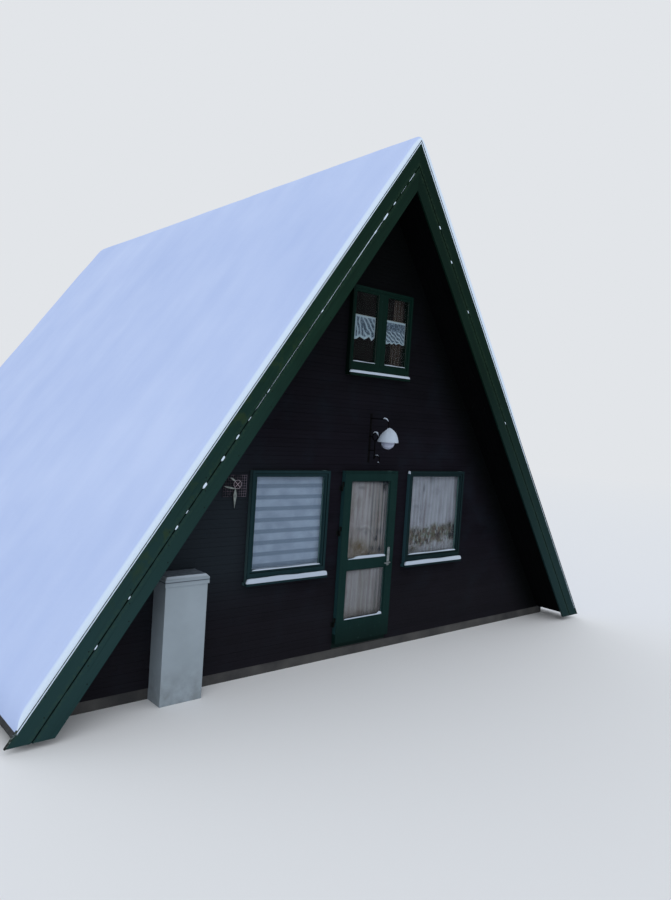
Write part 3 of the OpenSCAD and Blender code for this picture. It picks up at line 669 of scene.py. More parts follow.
def turned_y(profile, centre, outward):
    """Solid of revolution about a line along Y from a point; the profile lists radius and way out."""
    profile = [(0, profile[0][1])] + profile
    return loft([[(centre.x + r * c, centre.y + outward * h, centre.z + r * s) for r, h in profile]
                 for c, s in circle(28)], closed=True)


def tube(path, radius, sides=12):
    """Round bar along a path; radius is a number or a function of the way along it."""
    size = radius if callable(radius) else (lambda t: radius)
    rings = []
    side = None
    for i, p in enumerate(path):
        ahead = (Vector(path[min(i + 1, len(path) - 1)]) - Vector(path[max(i - 1, 0)])).normalized()
        if side is None:
            side = ahead.orthogonal().normalized()
        side = (side - ahead * side.dot(ahead)).normalized()
        other = ahead.cross(side)
        r = size(i / (len(path) - 1))
        rings.append([tuple(Vector(p) + side * r * c + other * r * s) for c, s in circle(sides)])
    return loft(rings)


def drift(path, across, up, width, height, seed=0.0, rough=0.12, square=14):
    """Snow that lies along a path: flat underneath, round on top and at its ends.
    A higher square makes blunter ends."""
    across, up = Vector(across), Vector(up)
    rings = []
    for i, p in enumerate(path):
        t = i / (len(path) - 1)
        end = max(0.02, (1 - abs(2 * t - 1) ** square)) ** 0.5
        ring = []
        for k in range(13):
            a = math.pi * k / 12
            place = Vector(p)
            lump = 1 + rough * wander(place.length * 11 + seed, k * 0.35, seed)
            c, s = math.cos(a), math.sin(a)
            c = math.copysign(abs(c) ** 0.7, c)
            ring.append(tuple(place + across * c * width(t) * end * lump
                              + up * (s ** 0.75) * height(t) * end * lump))
        rings.append(ring)
    return loft(rings)


def between(points, x):
    """Height at x of the straight lines through points, level before the first and after the last."""
    if x <= points[0][0]:
        return points[0][1]
    for (x0, y0), (x1, y1) in zip(points, points[1:]):
        if x <= x1:
            return y0 + (y1 - y0) * (x - x0) / (x1 - x0)
    return points[-1][1]


def line(start, end, count):
    start, end = Vector(start), Vector(end)
    return [start.lerp(end, i / (count - 1)) for i in range(count)]


def graded(start, end, step, fine):
    """Places from start to end, a fine gap apart at both ends and up to a step apart between."""
    growth = 1.35
    half = (end - start) / 2
    places, gap = [0.0], fine
    while places[-1] + gap < half:
        places.append(places[-1] + gap)
        gap = min(step, gap * growth)
    return [start + p for p in places] + [start + half] + [end - p for p in reversed(places)]


# Camera, light and stage


def make_camera():
    ahead = Vector((math.sin(CAMERA_YAW) * math.cos(CAMERA_PITCH),
                    math.cos(CAMERA_YAW) * math.cos(CAMERA_PITCH), math.sin(CAMERA_PITCH)))
    right = Vector((math.cos(CAMERA_YAW), -math.sin(CAMERA_YAW), 0))
    up = right.cross(ahead)
    rolled_right = right * math.cos(CAMERA_ROLL) + up * math.sin(CAMERA_ROLL)
    rolled_up = up * math.cos(CAMERA_ROLL) - right * math.sin(CAMERA_ROLL)
    data = bpy.data.cameras.new("camera")
    data.lens = FOCAL_PIXELS * SENSOR / IMAGE_HEIGHT
    data.sensor_width = SENSOR
    data.clip_end = 500
    camera = placed("camera", data)
    turn = Matrix((rolled_right, rolled_up, -ahead)).transposed().to_4x4()
    camera.matrix_world = Matrix.Translation(CAMERA_PLACE) @ turn
    bpy.context.scene.camera = camera
    bpy.context.scene.view_settings.view_transform = "Standard"


def make_world():
    """Soft even light from all round; a plain pale background where it is seen or mirrored."""
    world = bpy.data.worlds.new("world")
    world.use_nodes = True
    bpy.context.scene.world = world
    nodes, links = world.node_tree.nodes, world.node_tree.links
    light = nodes["Background"]
    light.inputs["Color"].default_value = rgb(SKY_LIGHT)
    light.inputs["Strength"].default_value = SKY_STRENGTH
    shown = nodes.new("ShaderNodeBackground")
    shown.inputs["Color"].default_value = rgb(BACKGROUND)
    path = nodes.new("ShaderNodeLightPath")
    seen = path.outputs["Is Camera Ray"]
    for ray in ("Is Glossy Ray", "Is Transmission Ray"):
        either = nodes.new("ShaderNodeMath")
        either.operation = "MAXIMUM"
        links.new(seen, either.inputs[0])
        links.new(path.outputs[ray], either.inputs[1])
        seen = either.outputs[0]
    mixed = nodes.new("ShaderNodeMixShader")
    links.new(seen, mixed.inputs[0])
    links.new(light.outputs[0], mixed.inputs[1])
    links.new(shown.outputs[0], mixed.inputs[2])
    links.new(mixed.outputs[0], nodes["World Output"].inputs["Surface"])


def make_sun():
    data = bpy.data.lights.new("sun", "SUN")
    data.energy = SUN_STRENGTH
    data.angle = SUN_SIZE
    placed("sun", data).rotation_euler = SUN_TURN


def make_floor():
    """Pale floor that fades into the background far from the cabin."""
    s = Surface("stage_floor", 0.95, specular=0.0)
    s.colour(rgb(BACKGROUND))
    away = s.node("VectorMath", {0: s.coords}, operation="LENGTH").outputs["Value"]
    glow = s.node("Emission", {"Color": rgb(BACKGROUND), "Strength": 1.0})
    s.swap_shader(s.ramp(away, *FLOOR_FADE), glow)
    half = FLOOR_HALF
    mesh = bpy.data.meshes.new("stage_floor")
    mesh.from_pydata([(-half, -half, 0), (half, -half, 0), (half, half, 0), (-half, half, 0)],
                     [], [(0, 1, 2, 3)])
    mesh.materials.append(s.material)
    placed("stage_floor", mesh)


# Wall boards

BOARD_H = 0.096
BOARD_OUT = 0.007
BOARD_GROOVE = 0.0035
BOARD_JOINT = 0.0015
MIDDLE_GROOVE = 0.002
OPENING_GAP = 0.005
SHORTEST_BOARD = 0.01
JOINT_REACH = 3.4
HINGE_FEET = (0.385, 1.48, 2.01)
HINGE_H = 0.055
NAIL_ROWS = (0.03, 0.13, 0.2, 0.29)
NAIL_START, NAIL_STEP = 0.25, 0.6
NAIL_HEAD = ((0.0055, 0), (0.005, 0.0012), (0.002, 0.0018))


def board_profile(foot):
    """Outline of one wall board as height and depth: grooved at its edges and in its middle."""
    half = BOARD_H / 2
    return [(foot, 0.0035), (foot + BOARD_GROOVE, BOARD_OUT),
            (foot + half - MIDDLE_GROOVE, BOARD_OUT), (foot + half, BOARD_OUT - MIDDLE_GROOVE),
            (foot + half + MIDDLE_GROOVE, BOARD_OUT),
            (foot + BOARD_H - BOARD_GROOVE, BOARD_OUT), (foot + BOARD_H, 0.0035)]


def wall_openings(nodes, hinges=()):
    """Rectangles x0, x1, z0, z1 that frames, sills and hinge plates take out of the boards."""
    found = []
    for node in nodes:
        low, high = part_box(node)
        found.append((low.x - OPENING_GAP, high.x + OPENING_GAP, low.z - OPENING_GAP, high.z + OPENING_GAP))
    low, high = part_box("door_hinges_frame")
    found += [(low.x - 0.001, high.x, z - 0.001, z + HINGE_H + 0.001) for z in hinges]
    return found


def spans(z, openings, joints):
    """Board ends at height z as pairs of functions of the height."""
    def edge(sign):
        return lambda h: sign * (half_at(h, ROOM_W) - OPENING_GAP)

    def fixed(x):
        return lambda h: x
    half = half_at(z, ROOM_W)
    stops = [(-half, edge(-1), True)]
    for x0, x1, z0, z1 in openings:
        if z0 < z < z1:
            stops += [(x0, fixed(x0), False), (x1, fixed(x1), True)]
    for x in joints:
        if abs(x) < half - 0.2 and all(not (x0 - 0.15 < x < x1 + 0.15) or not z0 < z < z1
                                       for x0, x1, z0, z1 in openings):
            stops += [(x - BOARD_JOINT / 2, fixed(x - BOARD_JOINT / 2), False),
                      (x + BOARD_JOINT / 2, fixed(x + BOARD_JOINT / 2), True)]
    stops.append((half, edge(1), False))
    stops.sort(key=lambda s: s[0])
    return [(a[1], b[1]) for a, b in zip(stops, stops[1:]) if a[2] and not b[2]]


def wall_boards(name, openings, face, outward, seed, surface):
    """Horizontal boards over a gable wall, cut round its openings."""
    draw = random.Random(seed)
    parts, tones = [], []
    foot = BASE_TOP - 0.01
    while foot < apex(ROOM_W) - 0.05:
        profile = board_profile(foot)
        top = min(foot + BOARD_H, apex(ROOM_W) - 0.02)
        joints = [draw.uniform(-JOINT_REACH, JOINT_REACH) for _ in range(2)]
        cuts = [foot, top] + [z for o in openings for z in o[2:] if foot < z < top]
        cuts = sorted(set(cuts))
        tone = draw.random()
        for z0, z1 in zip(cuts, cuts[1:]):
            heights = [z0] + [z for z, _ in profile if z0 < z < z1] + [z1]
            section = [(face + outward * between(profile, z), z) for z in heights]
            section += [(face, z1), (face, z0)]
            for left, right in spans((z0 + z1) / 2, openings, joints):
                if right(z0) - left(z0) < SHORTEST_BOARD:
                    continue
                shape = skewed(section, left, right)
                parts.append(shape)
                tones += [0.75 * tone + 0.25 * draw.random()] * len(shape[1])
        foot += BOARD_H
    made = piece(name, joined(parts), surface, soft_angle=0, open_sheet=True)
    values = made.data.attributes.new("tone", "FLOAT", "FACE")
    values.data.foreach_set("value", tones)


def slope_prism(w0, w1, foot, y0, y1, side):
    """Long piece parallel to a roof slope between two distances inside the verge line."""
    outline = [(0, apex(w0)), (half_at(foot, w0), foot), (half_at(foot, w1), foot), (0, apex(w1))]
    return loft([[(side * x, y, z) for x, z in outline] for y in (y0, y1)])


def soffit(name, y0, y1, surface):
    """Boards under the verge's overhang, along the slope."""
    count, gap, thick = 4, 0.004, 0.006
    width = (y1 - y0) / count
    parts = [slope_prism(ROOM_W, ROOM_W + thick, BASE_TOP + 0.01, y0 + i * width + gap / 2,
                         y0 + (i + 1) * width - gap / 2, side)
             for i in range(count) for side in (-1, 1)]
    piece(name, joined(parts), surface, soft_angle=0)


def nails(name, y, outward, surface):
    """Flat nail heads in pairs along both boards of each slope."""
    parts = []
    for side in (-1, 1):
        for w in NAIL_ROWS:
            along = NAIL_START
            while along < half_at(FOOT, w) / math.cos(PITCH) - 0.1:
                x, z = along * math.cos(PITCH), apex(w) - along * math.sin(PITCH)
                parts.append(loft([[(side * x + r * c, y + outward * h, z + r * s) for c, s in circle(8)]
                                   for r, h in NAIL_HEAD]))
                along += NAIL_STEP
    piece(name, joined(parts), surface)


# Snow

RIDGE_ROUND = 0.07
SNOW_EDGE = 0.05
SNOW_LIP = 0.3
BARE_EDGE = 0.4
LEDGE_HALF = 0.010
LEDGE_OUT = 0.010
SNOW_FOOT_Z = 0.16
SNOW_UNDER_W = 0.012

# Depth and height of the lump of snow beside the right window's frame
CORNER_SNOW = (-4.098, 2.216)

# Snow in the joints of the front verges: start and end of each run as shares of the way up, and its size
LEFT_RUNS = ((0.962, 0.985, 0.0038), (0.935, 0.955, 0.0016), (0.908, 0.916, 0.007), (0.872, 0.890, 0.010),
             (0.842, 0.852, 0.009), (0.770, 0.872, 0.0038), (0.680, 0.770, 0.0022), (0.675, 0.682, 0.0055),
             (0.530, 0.675, 0.0017), (0.522, 0.530, 0.006), (0.490, 0.522, 0.0018), (0.472, 0.480, 0.0045),
             (0.440, 0.449, 0.009), (0.403, 0.412, 0.010), (0.358, 0.368, 0.011), (0.318, 0.324, 0.004),
             (0.293, 0.300, 0.008), (0.190, 0.195, 0.006), (0.120, 0.127, 0.006))
RIGHT_RUNS = ((0.892, 0.899, 0.009), (0.830, 0.836, 0.009), (0.735, 0.741, 0.007), (0.5, 0.506, 0.006))


def snow_depth(x, y, start, end):
    """Depth of the roof snow square to the slope, swept thin low on the right slope's front verge."""
    near = min(y - start, end - y)
    side = min(1.0, near / SNOW_EDGE)
    lip, bare = SNOW_LIP, 0.0
    if x > 0 and y < 0:
        # The verge of the photo's right slope: a fuller lip near the ridge, a thin edge low down
        height = RIDGE - SLOPE * x
        lip += 0.15 * smooth((height - 4.9) / 0.5)
        bare = smooth((3.4 - height) / 1.4)
    verge = lip + (1 - lip) * math.sqrt(1 - (1 - side) ** 2)
    verge += (smooth(near / BARE_EDGE) - verge) * bare
    low = min(1.0, (half_at(SNOW_FOOT_Z, SNOW_UNDER_W) - abs(x)) / 0.06)
    foot = 0.15 + 0.85 * math.sqrt(max(0.0, 1 - (1 - low) ** 2))
    rolls = 0.010 * wander(x * 0.7, y * 0.6, 1.3) + 0.005 * wander(x * 2.1, y * 1.7, 4.1)
    grain = 0.0016 * wander(x * 9, y * 9, 2.2)
    cap = 0.006 * smooth((0.2 - abs(x)) / 0.05) - 0.004 * smooth((0.42 - abs(x)) / 0.05)
    wavy = 1 + 0.1 * wander(y * 1.3, 7.7) * (1 - side)
    return (SNOW_FULL * verge * wavy + rolls * side + cap + 0.012 * (1 - bare)) * foot + grain


def roof_snow(surface):
    """Snow over both slopes and the ridge, replacing its two plain solids."""
    start, end = FRONT - 0.004, -FRONT + 0.004
    half = graded(0.0, half_at(SNOW_FOOT_Z, SNOW_UNDER_W), 0.07, 0.012)
    xs = [-x for x in reversed(half[1:])] + half
    ys = graded(start, end, 0.06, 0.004)

    def cover(x):
        return apex(SNOW_UNDER_W) - SLOPE * abs(x)

    def top(x, y):
        crest = SLOPE * (math.hypot(x, RIDGE_ROUND) - abs(x))
        lift = snow_depth(x, y, start, end) / math.cos(PITCH)
        return cover(x) + max(0.006, lift - crest * lift / 0.18)
    over = grid([[(x, y, top(x, y)) for x in xs] for y in ys])
    under = grid([[(x, y, cover(x)) for x in xs] for y in ys])
    count, rows = len(xs), len(ys)
    size = count * rows
    edge = ([k for k in range(count)] + [i * count + count - 1 for i in range(1, rows)]
            + [(rows - 1) * count + k for k in range(count - 2, -1, -1)]
            + [i * count for i in range(rows - 2, 0, -1)])
    walls = [(a, b, b + size, a + size) for a, b in zip(edge, edge[1:] + edge[:1])]
    verts, faces = joined([over, under])
    made = piece("roof_snow", (verts, faces + walls), surface, soft_angle=60)
    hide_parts("roof_snow_left", "roof_snow_right")


def snow_strip(name, x0, x1, y, z, count, width, height, surface, seed, rough, square=14,
               body=CABIN, soft_angle=70):
    """Level strip of snow along X; its width and height are functions of the way along it."""
    path = line((x0, y, z), (x1, y, z), count)
    shape = drift(path, (0, 1, 0), (0, 0, 1), width, height, seed, rough, square)
    piece(name, shape, surface, body, soft_angle)


def sill_snow(name, sill, depth, seed, surface, outward=-1):
    """Blunt-ended loaf of snow on a window sill, from the frame's face to a little past the sill's edge."""
    low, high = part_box(sill)
    x0, x1 = (low.x, high.x) if outward < 0 else (-high.x, -low.x)
    back, front = FRAME_FACE, low.y - 0.008
    snow_strip(name, x0 - 0.005, x1 + 0.005, -outward * (back + front) / 2, high.z - 0.003, 90,
               lambda t: (back - front) / 2, lambda t: depth * (1 + 0.1 * wander(t * 5, seed)),
               surface, seed, 0.08, 40)


def ledge_snow(name, pane, y, height, surface, body=CABIN, seed=0.0, inset=0.004):
    """Strip of snow on the lower edge of a pane; height is a function of the way along it."""
    x0, x1, z0, _ = pane
    snow_strip(name, x0 + inset, x1 - inset, y, z0 - 0.002, 40, lambda t: LEDGE_HALF, height,
               surface, seed, 0.15, body=body)


def verge_point(along, w, side, y):
    """Point on a verge: along is the way from its foot to the ridge, from 0 to 1."""
    foot = half_at(FOOT, w)
    x = foot * (1 - along)
    return Vector((side * x, y, apex(w) - SLOPE * x))


def joint_snow(name, side, runs, surface, seed):
    """Snow caught in the joint between the two boards of a verge. Each run has a start, an end and a size."""
    up = Vector((0, -1, 0))
    across = Vector((side * math.sin(PITCH), 0, math.cos(PITCH)))
    parts = []
    for number, (a, b, size) in enumerate(runs):
        count = max(6, int((b - a) * 260))
        path = [verge_point(a + (b - a) * i / (count - 1), GAP_W, side, FRONT + 0.006)
                for i in range(count)]

        def width(t, s=size, n=number):
            return s * (0.9 + 0.35 * wander(t * (b - a) * 60, n, seed))

        def height(t, w=width):
            return 0.002 + 1.2 * w(t)
        parts.append(drift(path, across, up, width, height, seed + number, 0.3))
    piece(name, joined(parts), surface, soft_angle=80)


# Lamp

lamp_low, lamp_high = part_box("lamp_shade")
LAMP = Vector(((lamp_low.x + lamp_high.x) / 2, (lamp_low.y + lamp_high.y) / 2, lamp_low.z))
SHADE_R = (lamp_high.x - lamp_low.x) / 2
COLLAR_H = 0.017
SHADE_H = lamp_high.z - lamp_low.z - COLLAR_H
SHADE_T = 0.004
DOME_POWER = 1.6
HOLDER_R = 0.024
GLOBE_R = LAMP.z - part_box("lamp_globe")[0].z
GLOBE_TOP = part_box("lamp_globe")[1].z - LAMP.z

# Snow on the shade: its height, the way it leans, and its outline as shares of radius and height
CAP_H = 0.172
CAP_LEAN = -0.71
CAP = ((0, 1), (0.1, 0.94), (0.21, 0.86), (0.4, 0.74), (0.565, 0.63), (0.8, 0.39), (0.955, 0.13), (1, 0))

# Lamp bracket: its bar, arm and bend, then the ring and the scroll under the arm
BRACKET_BAR = 0.010
ARM_Z = 2.885
BEND_R = 0.075
RING_Z = ARM_Z - 0.215
RING_R = 0.045
CURL_Z = RING_Z - 0.273
CURL_R = 0.048
CURL_END = math.radians(226)
STEM_OUT = 0.101


def dome(radius, height, steps=22):
    """Points of a shade from its rim to its top: an ellipse drawn slightly to a point."""
    return [(radius * math.cos(a), height * math.sin(a) ** DOME_POWER)
            for a in (math.pi / 2 * i / steps for i in range(steps + 1))]


def make_shade(surface):
    """Enamelled dome with a rolled rim, collar and lamp holder."""
    outer = dome(SHADE_R - 0.003, SHADE_H)
    inner = dome(SHADE_R - 0.003 - SHADE_T, SHADE_H - SHADE_T)
    bowl = turned(outer[1:] + list(reversed(inner[1:])), LAMP, 64)
    rim = [(SHADE_R - 0.005 + 0.004 * c, 0.004 + 0.004 * s) for c, s in circle(10)]
    collar = [(0, SHADE_H - 0.012), (HOLDER_R, SHADE_H - 0.012), (HOLDER_R, SHADE_H + COLLAR_H - 0.003),
              (HOLDER_R - 0.003, SHADE_H + COLLAR_H), (0, SHADE_H + COLLAR_H)]
    neck = GLOBE_TOP + 0.001
    holder = [(0, neck), (HOLDER_R, neck), (HOLDER_R, SHADE_H - 0.006), (0, SHADE_H - 0.006)]
    parts = [bowl, turned(rim, LAMP, 64), turned(collar, LAMP), turned(holder, LAMP)]
    made = piece("shade_shell", joined(parts), surface, soft_angle=35)
    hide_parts("lamp_shade")


def make_globe(surface):
    """Opal glass globe with its neck."""
    neck_r = HOLDER_R - 0.003
    start = math.acos(neck_r / GLOBE_R)
    round_part = [(GLOBE_R * math.cos(a), GLOBE_R * math.sin(a))
                  for a in (start - (start + math.pi / 2) * i / 30 for i in range(31))]
    made = piece("globe_glass", turned([(0, GLOBE_TOP), (neck_r, GLOBE_TOP)] + round_part, LAMP),
                 surface, soft_angle=35)
    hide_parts("lamp_globe")


def shade_snow(surface):
    """Cap of snow over the shade, drawn to a soft point round the arm."""
    count, sides = 24, 48
    shell = dome(SHADE_R, SHADE_H, 60)

    def under(r):
        return max(z for radius, z in shell if radius >= r - 0.002)

    def over(r, turn):
        share = min(1.0, r / SHADE_R)
        share -= 0.9 * share * (1 - share) * max(0.0, math.cos(turn - CAP_LEAN))
        bumps = wander(3 * math.cos(turn), 3 * math.sin(turn), r * 20)
        lumpy = CAP_H * between(CAP, share) * (1 + 0.04 * bumps)
        return max(lumpy, under(r) + 0.0035 * (1 - share ** 6))
    rings = []
    for i in range(sides):
        turn = 2 * math.pi * i / sides
        edge = SHADE_R * (0.985 + 0.012 * wander(4 * math.cos(turn), 4 * math.sin(turn), 9))
        radii = [edge * k / count for k in range(count + 1)]
        profile = [(r, over(r, turn)) for r in reversed(radii)]
        profile += [(r, under(r) - 0.002) for r in radii]
        rings.append([(LAMP.x + r * math.cos(turn), LAMP.y + r * math.sin(turn), LAMP.z + h)
                      for r, h in profile])
    piece("shade_snow", loft(rings, closed=True), surface, soft_angle=70)


def arc_snow(out, z, radius, start, end, depth, seed):
    """Crescent of snow on a bent bar: out is the arc centre's distance from the wall."""
    count = 16
    rings = []
    for i in range(count):
        t = i / (count - 1)
        a = math.radians(start + (end - start) * t)
        place = Vector((LAMP.x, WALL - out + radius * math.cos(a), z + radius * math.sin(a)))
        swell = max(0.05, math.sin(math.pi * t)) ** 0.6 * (1 + 0.2 * wander(t * 6, seed))
        up = Vector((0, math.cos(a), math.sin(a))).lerp(Vector((0, 0, 1)), 0.5).normalized()
        rings.append([tuple(place + Vector((1, 0, 0)) * math.cos(b) * 0.009 * swell
                            + up * math.sin(b) * depth * swell)
                      for b in (math.pi * k / 10 for k in range(11))])
    return loft(rings)


def bracket_snow(surface):
    """Snow on the crowns of the arm's bend, the ring and the scroll, and on the scroll's ball."""
    half = BRACKET_BAR / 2
    reach = WALL - LAMP.y
    curl_out = STEM_OUT + CURL_R
    ball = Vector((LAMP.x, WALL - curl_out + CURL_R * math.cos(CURL_END),
                   CURL_Z + CURL_R * math.sin(CURL_END)))
    dot = [(0.0095 * math.cos(a), 0.004 + 0.012 * math.sin(a))
           for a in (-0.2 + (math.pi / 2 + 0.2) * i / 8 for i in range(9))]
    parts = [arc_snow(reach - BEND_R, ARM_Z - BEND_R, BEND_R + half, 60, 138, 0.015, 1.0),
             arc_snow(STEM_OUT, RING_Z, RING_R + half, 20, 165, 0.014, 2.0),
             arc_snow(curl_out, CURL_Z, CURL_R + half, 40, 122, 0.006, 3.0),
             turned([(0, -0.002)] + dot, ball, 20)]
    piece("bracket_snow", joined(parts), surface, soft_angle=80)


# Cloth

SIDE_CURTAIN_X = (0.25, 0.42)


def spots(places):
    """A field over a cloth: soft spots, each with its place across and down, half-sizes and strength."""
    def field(u, v):
        return min(1.0, sum(e * math.exp(-((u - a) / c) ** 2 - ((v - b) / d) ** 2)
                            for a, b, c, d, e in places))
    return field


def hanging(name, x0, x1, z0, z1, y, fold, surface, body=CABIN,
            hem=None, cols=160, rows=60, replaces=(), fields=None, flare=0.0):
    """A sheet of cloth that hangs in the XZ plane. fold(u, v) gives its depth in metres behind y.
    Each of the fields becomes an attribute; flare moves the left edge's foot to the left."""
    lowest = hem or (lambda u: 0.0)
    values, lines, shares = [], [], []
    for i in range(rows + 1):
        v = i / rows
        row = []
        for k in range(cols + 1):
            u = k / cols
            depth = fold(u, v)
            left = x0 - flare * v
            row.append((left + (x1 - left) * u, y + depth, z1 + (z0 + lowest(u) - z1) * v))
            values.append(depth)
            shares.append((u, v))
        lines.append(row)
    most, least = max(values), min(values)
    made = piece(name, grid(lines), surface, body, soft_angle=180, open_sheet=True)
    attributes = {"fold": [(most - d) / max(1e-6, most - least) for d in values]}
    for key, field in (fields or {}).items():
        attributes[key] = [field(u, v) for u, v in shares]
    for key, numbers in attributes.items():
        made.data.attributes.new(key, "FLOAT", "POINT").data.foreach_set("value", numbers)
    if replaces:
        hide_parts(*replaces)


def rod(name, x0, x1, y, z, radius, surface, body=CABIN):
    """Curtain rod with a round knob at each end."""
    def size(t):
        return radius * (1.0 + 0.6 * max(0.0, 1 - min(t, 1 - t) * 60))
    piece(name, tube(line((x0, y, z), (x1, y, z), 90), size), surface, body)


def pleats(u, count, seed, skew=1.0):
    """Folds from -1 to 1 that vary in width across the cloth."""
    turn = max(0.0, u) ** skew * count + 0.35 * wander(u * 4, seed)
    swing = math.sin(2 * math.pi * turn) + 0.35 * math.sin(4.7 * math.pi * turn + seed)
    return swing / 1.35 * (0.7 + 0.3 * wander(u * 9, seed + 3))


# Where the curtains get painted shade for the dim room behind them (PAINTED_SHADE) or an aged tint (STAIN),
# as soft spots for spots()
UPPER_PAINTED_SHADE = ((1.0, 0.5, 0.08, 0.9, 0.65), (0.6, 0.45, 0.025, 0.8, 0.5), (0.93, 0.0, 0.22, 0.06, 0.7),
             (0.4, 0.01, 0.5, 0.03, 0.6), (0.9, 0.1, 0.06, 0.05, 0.6), (0.48, 0.68, 0.04, 0.03, 0.5),
             (0.3, 0.63, 0.05, 0.02, 0.4), (0.75, 0.77, 0.05, 0.035, 0.75), (0.68, 0.9, 0.07, 0.04, 0.65),
             (0.86, 0.92, 0.07, 0.05, 0.75), (0.58, 0.97, 0.05, 0.03, 0.5), (0.77, 0.5, 0.018, 0.7, 0.6),
             (0.87, 0.45, 0.018, 0.7, 0.55), (0.68, 0.4, 0.016, 0.6, 0.45), (0.94, 0.5, 0.012, 0.5, 0.5),
             (0.12, 0.75, 0.03, 0.12, 0.3), (0.52, 0.15, 0.015, 0.2, 0.3), (0.23, 0.3, 0.012, 0.5, 0.25),
             (0.3, 0.09, 0.1, 0.02, 0.4), (0.8, 0.68, 0.1, 0.05, 0.4))
UPPER_STAIN = ((0.45, 1.02, 0.6, 0.2, 0.9), (0.3, 0.84, 0.14, 0.08, 0.6), (0.9, 0.07, 0.05, 0.05, 0.9),
               (0.8, 0.4, 0.2, 0.4, 0.35), (0.08, 0.3, 0.08, 0.2, 0.3), (0.1, 0.8, 0.1, 0.1, 0.4))
LOWER_PAINTED_SHADE = ((0.5, 0.5, 1.2, 1.2, 0.12), (1.0, 0.5, 0.07, 0.9, 0.7), (0.83, 0.6, 0.05, 0.7, 0.35),
             (0.62, 0.7, 0.02, 0.5, 0.2), (0.0, 0.5, 0.04, 0.9, 0.4), (0.5, 1.05, 0.8, 0.12, 0.45),
             (0.92, 0.5, 0.015, 0.6, 0.35))
LOWER_STAIN = ((0.5, 1.05, 0.8, 0.2, 0.5), (0.85, 0.8, 0.12, 0.3, 0.3), (0.45, 0.5, 0.1, 0.6, 0.25))
RIGHT_PAINTED_SHADE = ((1.0, 0.25, 0.05, 0.5, 0.5), (0.93, 0.2, 0.015, 0.3, 0.35), (0.32, 0.18, 0.02, 0.06, 0.5),
             (0.46, 0.07, 0.05, 0.05, 0.3), (0.92, 0.79, 0.05, 0.035, 0.9), (0.87, 0.67, 0.05, 0.05, 0.6),
             (0.14, 0.94, 0.08, 0.035, 0.5), (0.18, 0.4, 0.07, 0.02, 0.25), (0.98, 0.8, 0.03, 0.2, 0.5),
             (0.27, 0.4, 0.012, 0.2, 0.3))
RIGHT_STAIN = ((0.06, 0.72, 0.04, 0.07, 0.7), (0.17, 0.74, 0.05, 0.08, 0.8), (0.31, 0.78, 0.05, 0.09, 0.9),
               (0.44, 0.76, 0.05, 0.07, 0.7), (0.56, 0.74, 0.05, 0.07, 0.8), (0.72, 0.75, 0.06, 0.07, 0.8),
               (0.88, 0.72, 0.08, 0.08, 0.9), (0.16, 0.93, 0.09, 0.05, 0.9), (0.36, 0.5, 0.012, 0.2, 0.4))


def border(u, v):
    """Strength of the woven border over the foot of the right-hand curtain."""
    rise = 0.06 * wander(u * 7, 3.0)
    return smooth((v - 0.61 - rise) / 0.08) * (1 - 0.75 * smooth((v - 0.84 - rise) / 0.05))


def crease(u, v):
    """Long curved crease over the lower half of the door's upper curtain: bright ridge, dark under it."""
    if not 0.22 < u < 0.82:
        return 0.0
    away = v - (0.59 + 2.3 * (u - 0.45) ** 2)
    fade = smooth((u - 0.22) / 0.1) * smooth((0.82 - u) / 0.1)
    return fade * (math.exp(-(away / 0.012) ** 2) - math.exp(-((away - 0.035) / 0.018) ** 2))


def door_curtains(net, metal):
    """Two net curtains on the door leaf, gathered on rods behind its panes."""
    low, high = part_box("door_curtain")
    middle = (low.y + high.y) / 2
    settings = (("upper", UPPER_PANE_Z0, high.z, 0.004, 1.5, 9, 2.0, UPPER_PAINTED_SHADE, UPPER_STAIN),
                ("lower", low.z, LOWER_PANE_Z1, 0.007, 1.4, 8, 5.0, LOWER_PAINTED_SHADE, LOWER_STAIN))
    for name, z0, z1, drop, skew, count, seed, dim, stain in settings:
        rod_z = z1 - drop
        rod(f"curtain_rod_{name}", low.x, high.x, middle, rod_z, 0.0025, metal, DOOR)
        ridge = 0.6 if name == "upper" else 0.0

        def fold(u, v, c=count, k=skew, s=seed, r=ridge):
            header = smooth((0.05 - v) / 0.03)
            shift = 0.03 * wander(u * 2, v * 1.5, s) * v
            body = pleats(u + shift, c, s, k) * (0.55 + 0.45 * v) * (0.15 + 0.85 * u)
            ruffle = math.sin(u * 120) * 0.8
            return 0.0033 * (body * (1 - header) + ruffle * header - r * crease(u, v))
        hanging(f"door_net_{name}", low.x + 0.004, high.x - 0.004, z0 + 0.006, rod_z + 0.002, middle, fold,
                net, DOOR,
                replaces=("door_curtain",) if name == "upper" else (),
                fields={"dim": spots(dim), "stain": spots(stain), "motif": lambda u, v: 0.0})


def window_net(net, metal):
    """Net curtain in many fine folds behind the right-hand window."""
    low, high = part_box("window_right_curtain")
    middle = low.y + 0.006
    rod_z = high.z - 0.006
    rod("window_rod", low.x, high.x, middle, rod_z, 0.004, metal)

    def fold(u, v):
        shift = u + 0.02 * wander(u * 3, v * 2, 1.0)
        return 0.0045 * pleats(shift, 14, 8.0) * (0.5 + 0.5 * v)
    hanging("window_net", low.x + 0.005, high.x - 0.005, low.z, rod_z, middle, fold, net,
            cols=320,
            replaces=("window_right_curtain",), hem=lambda u: 0.006 * abs(math.sin(u * 40)),
            fields={"dim": spots(RIGHT_PAINTED_SHADE), "stain": spots(RIGHT_STAIN), "motif": border})


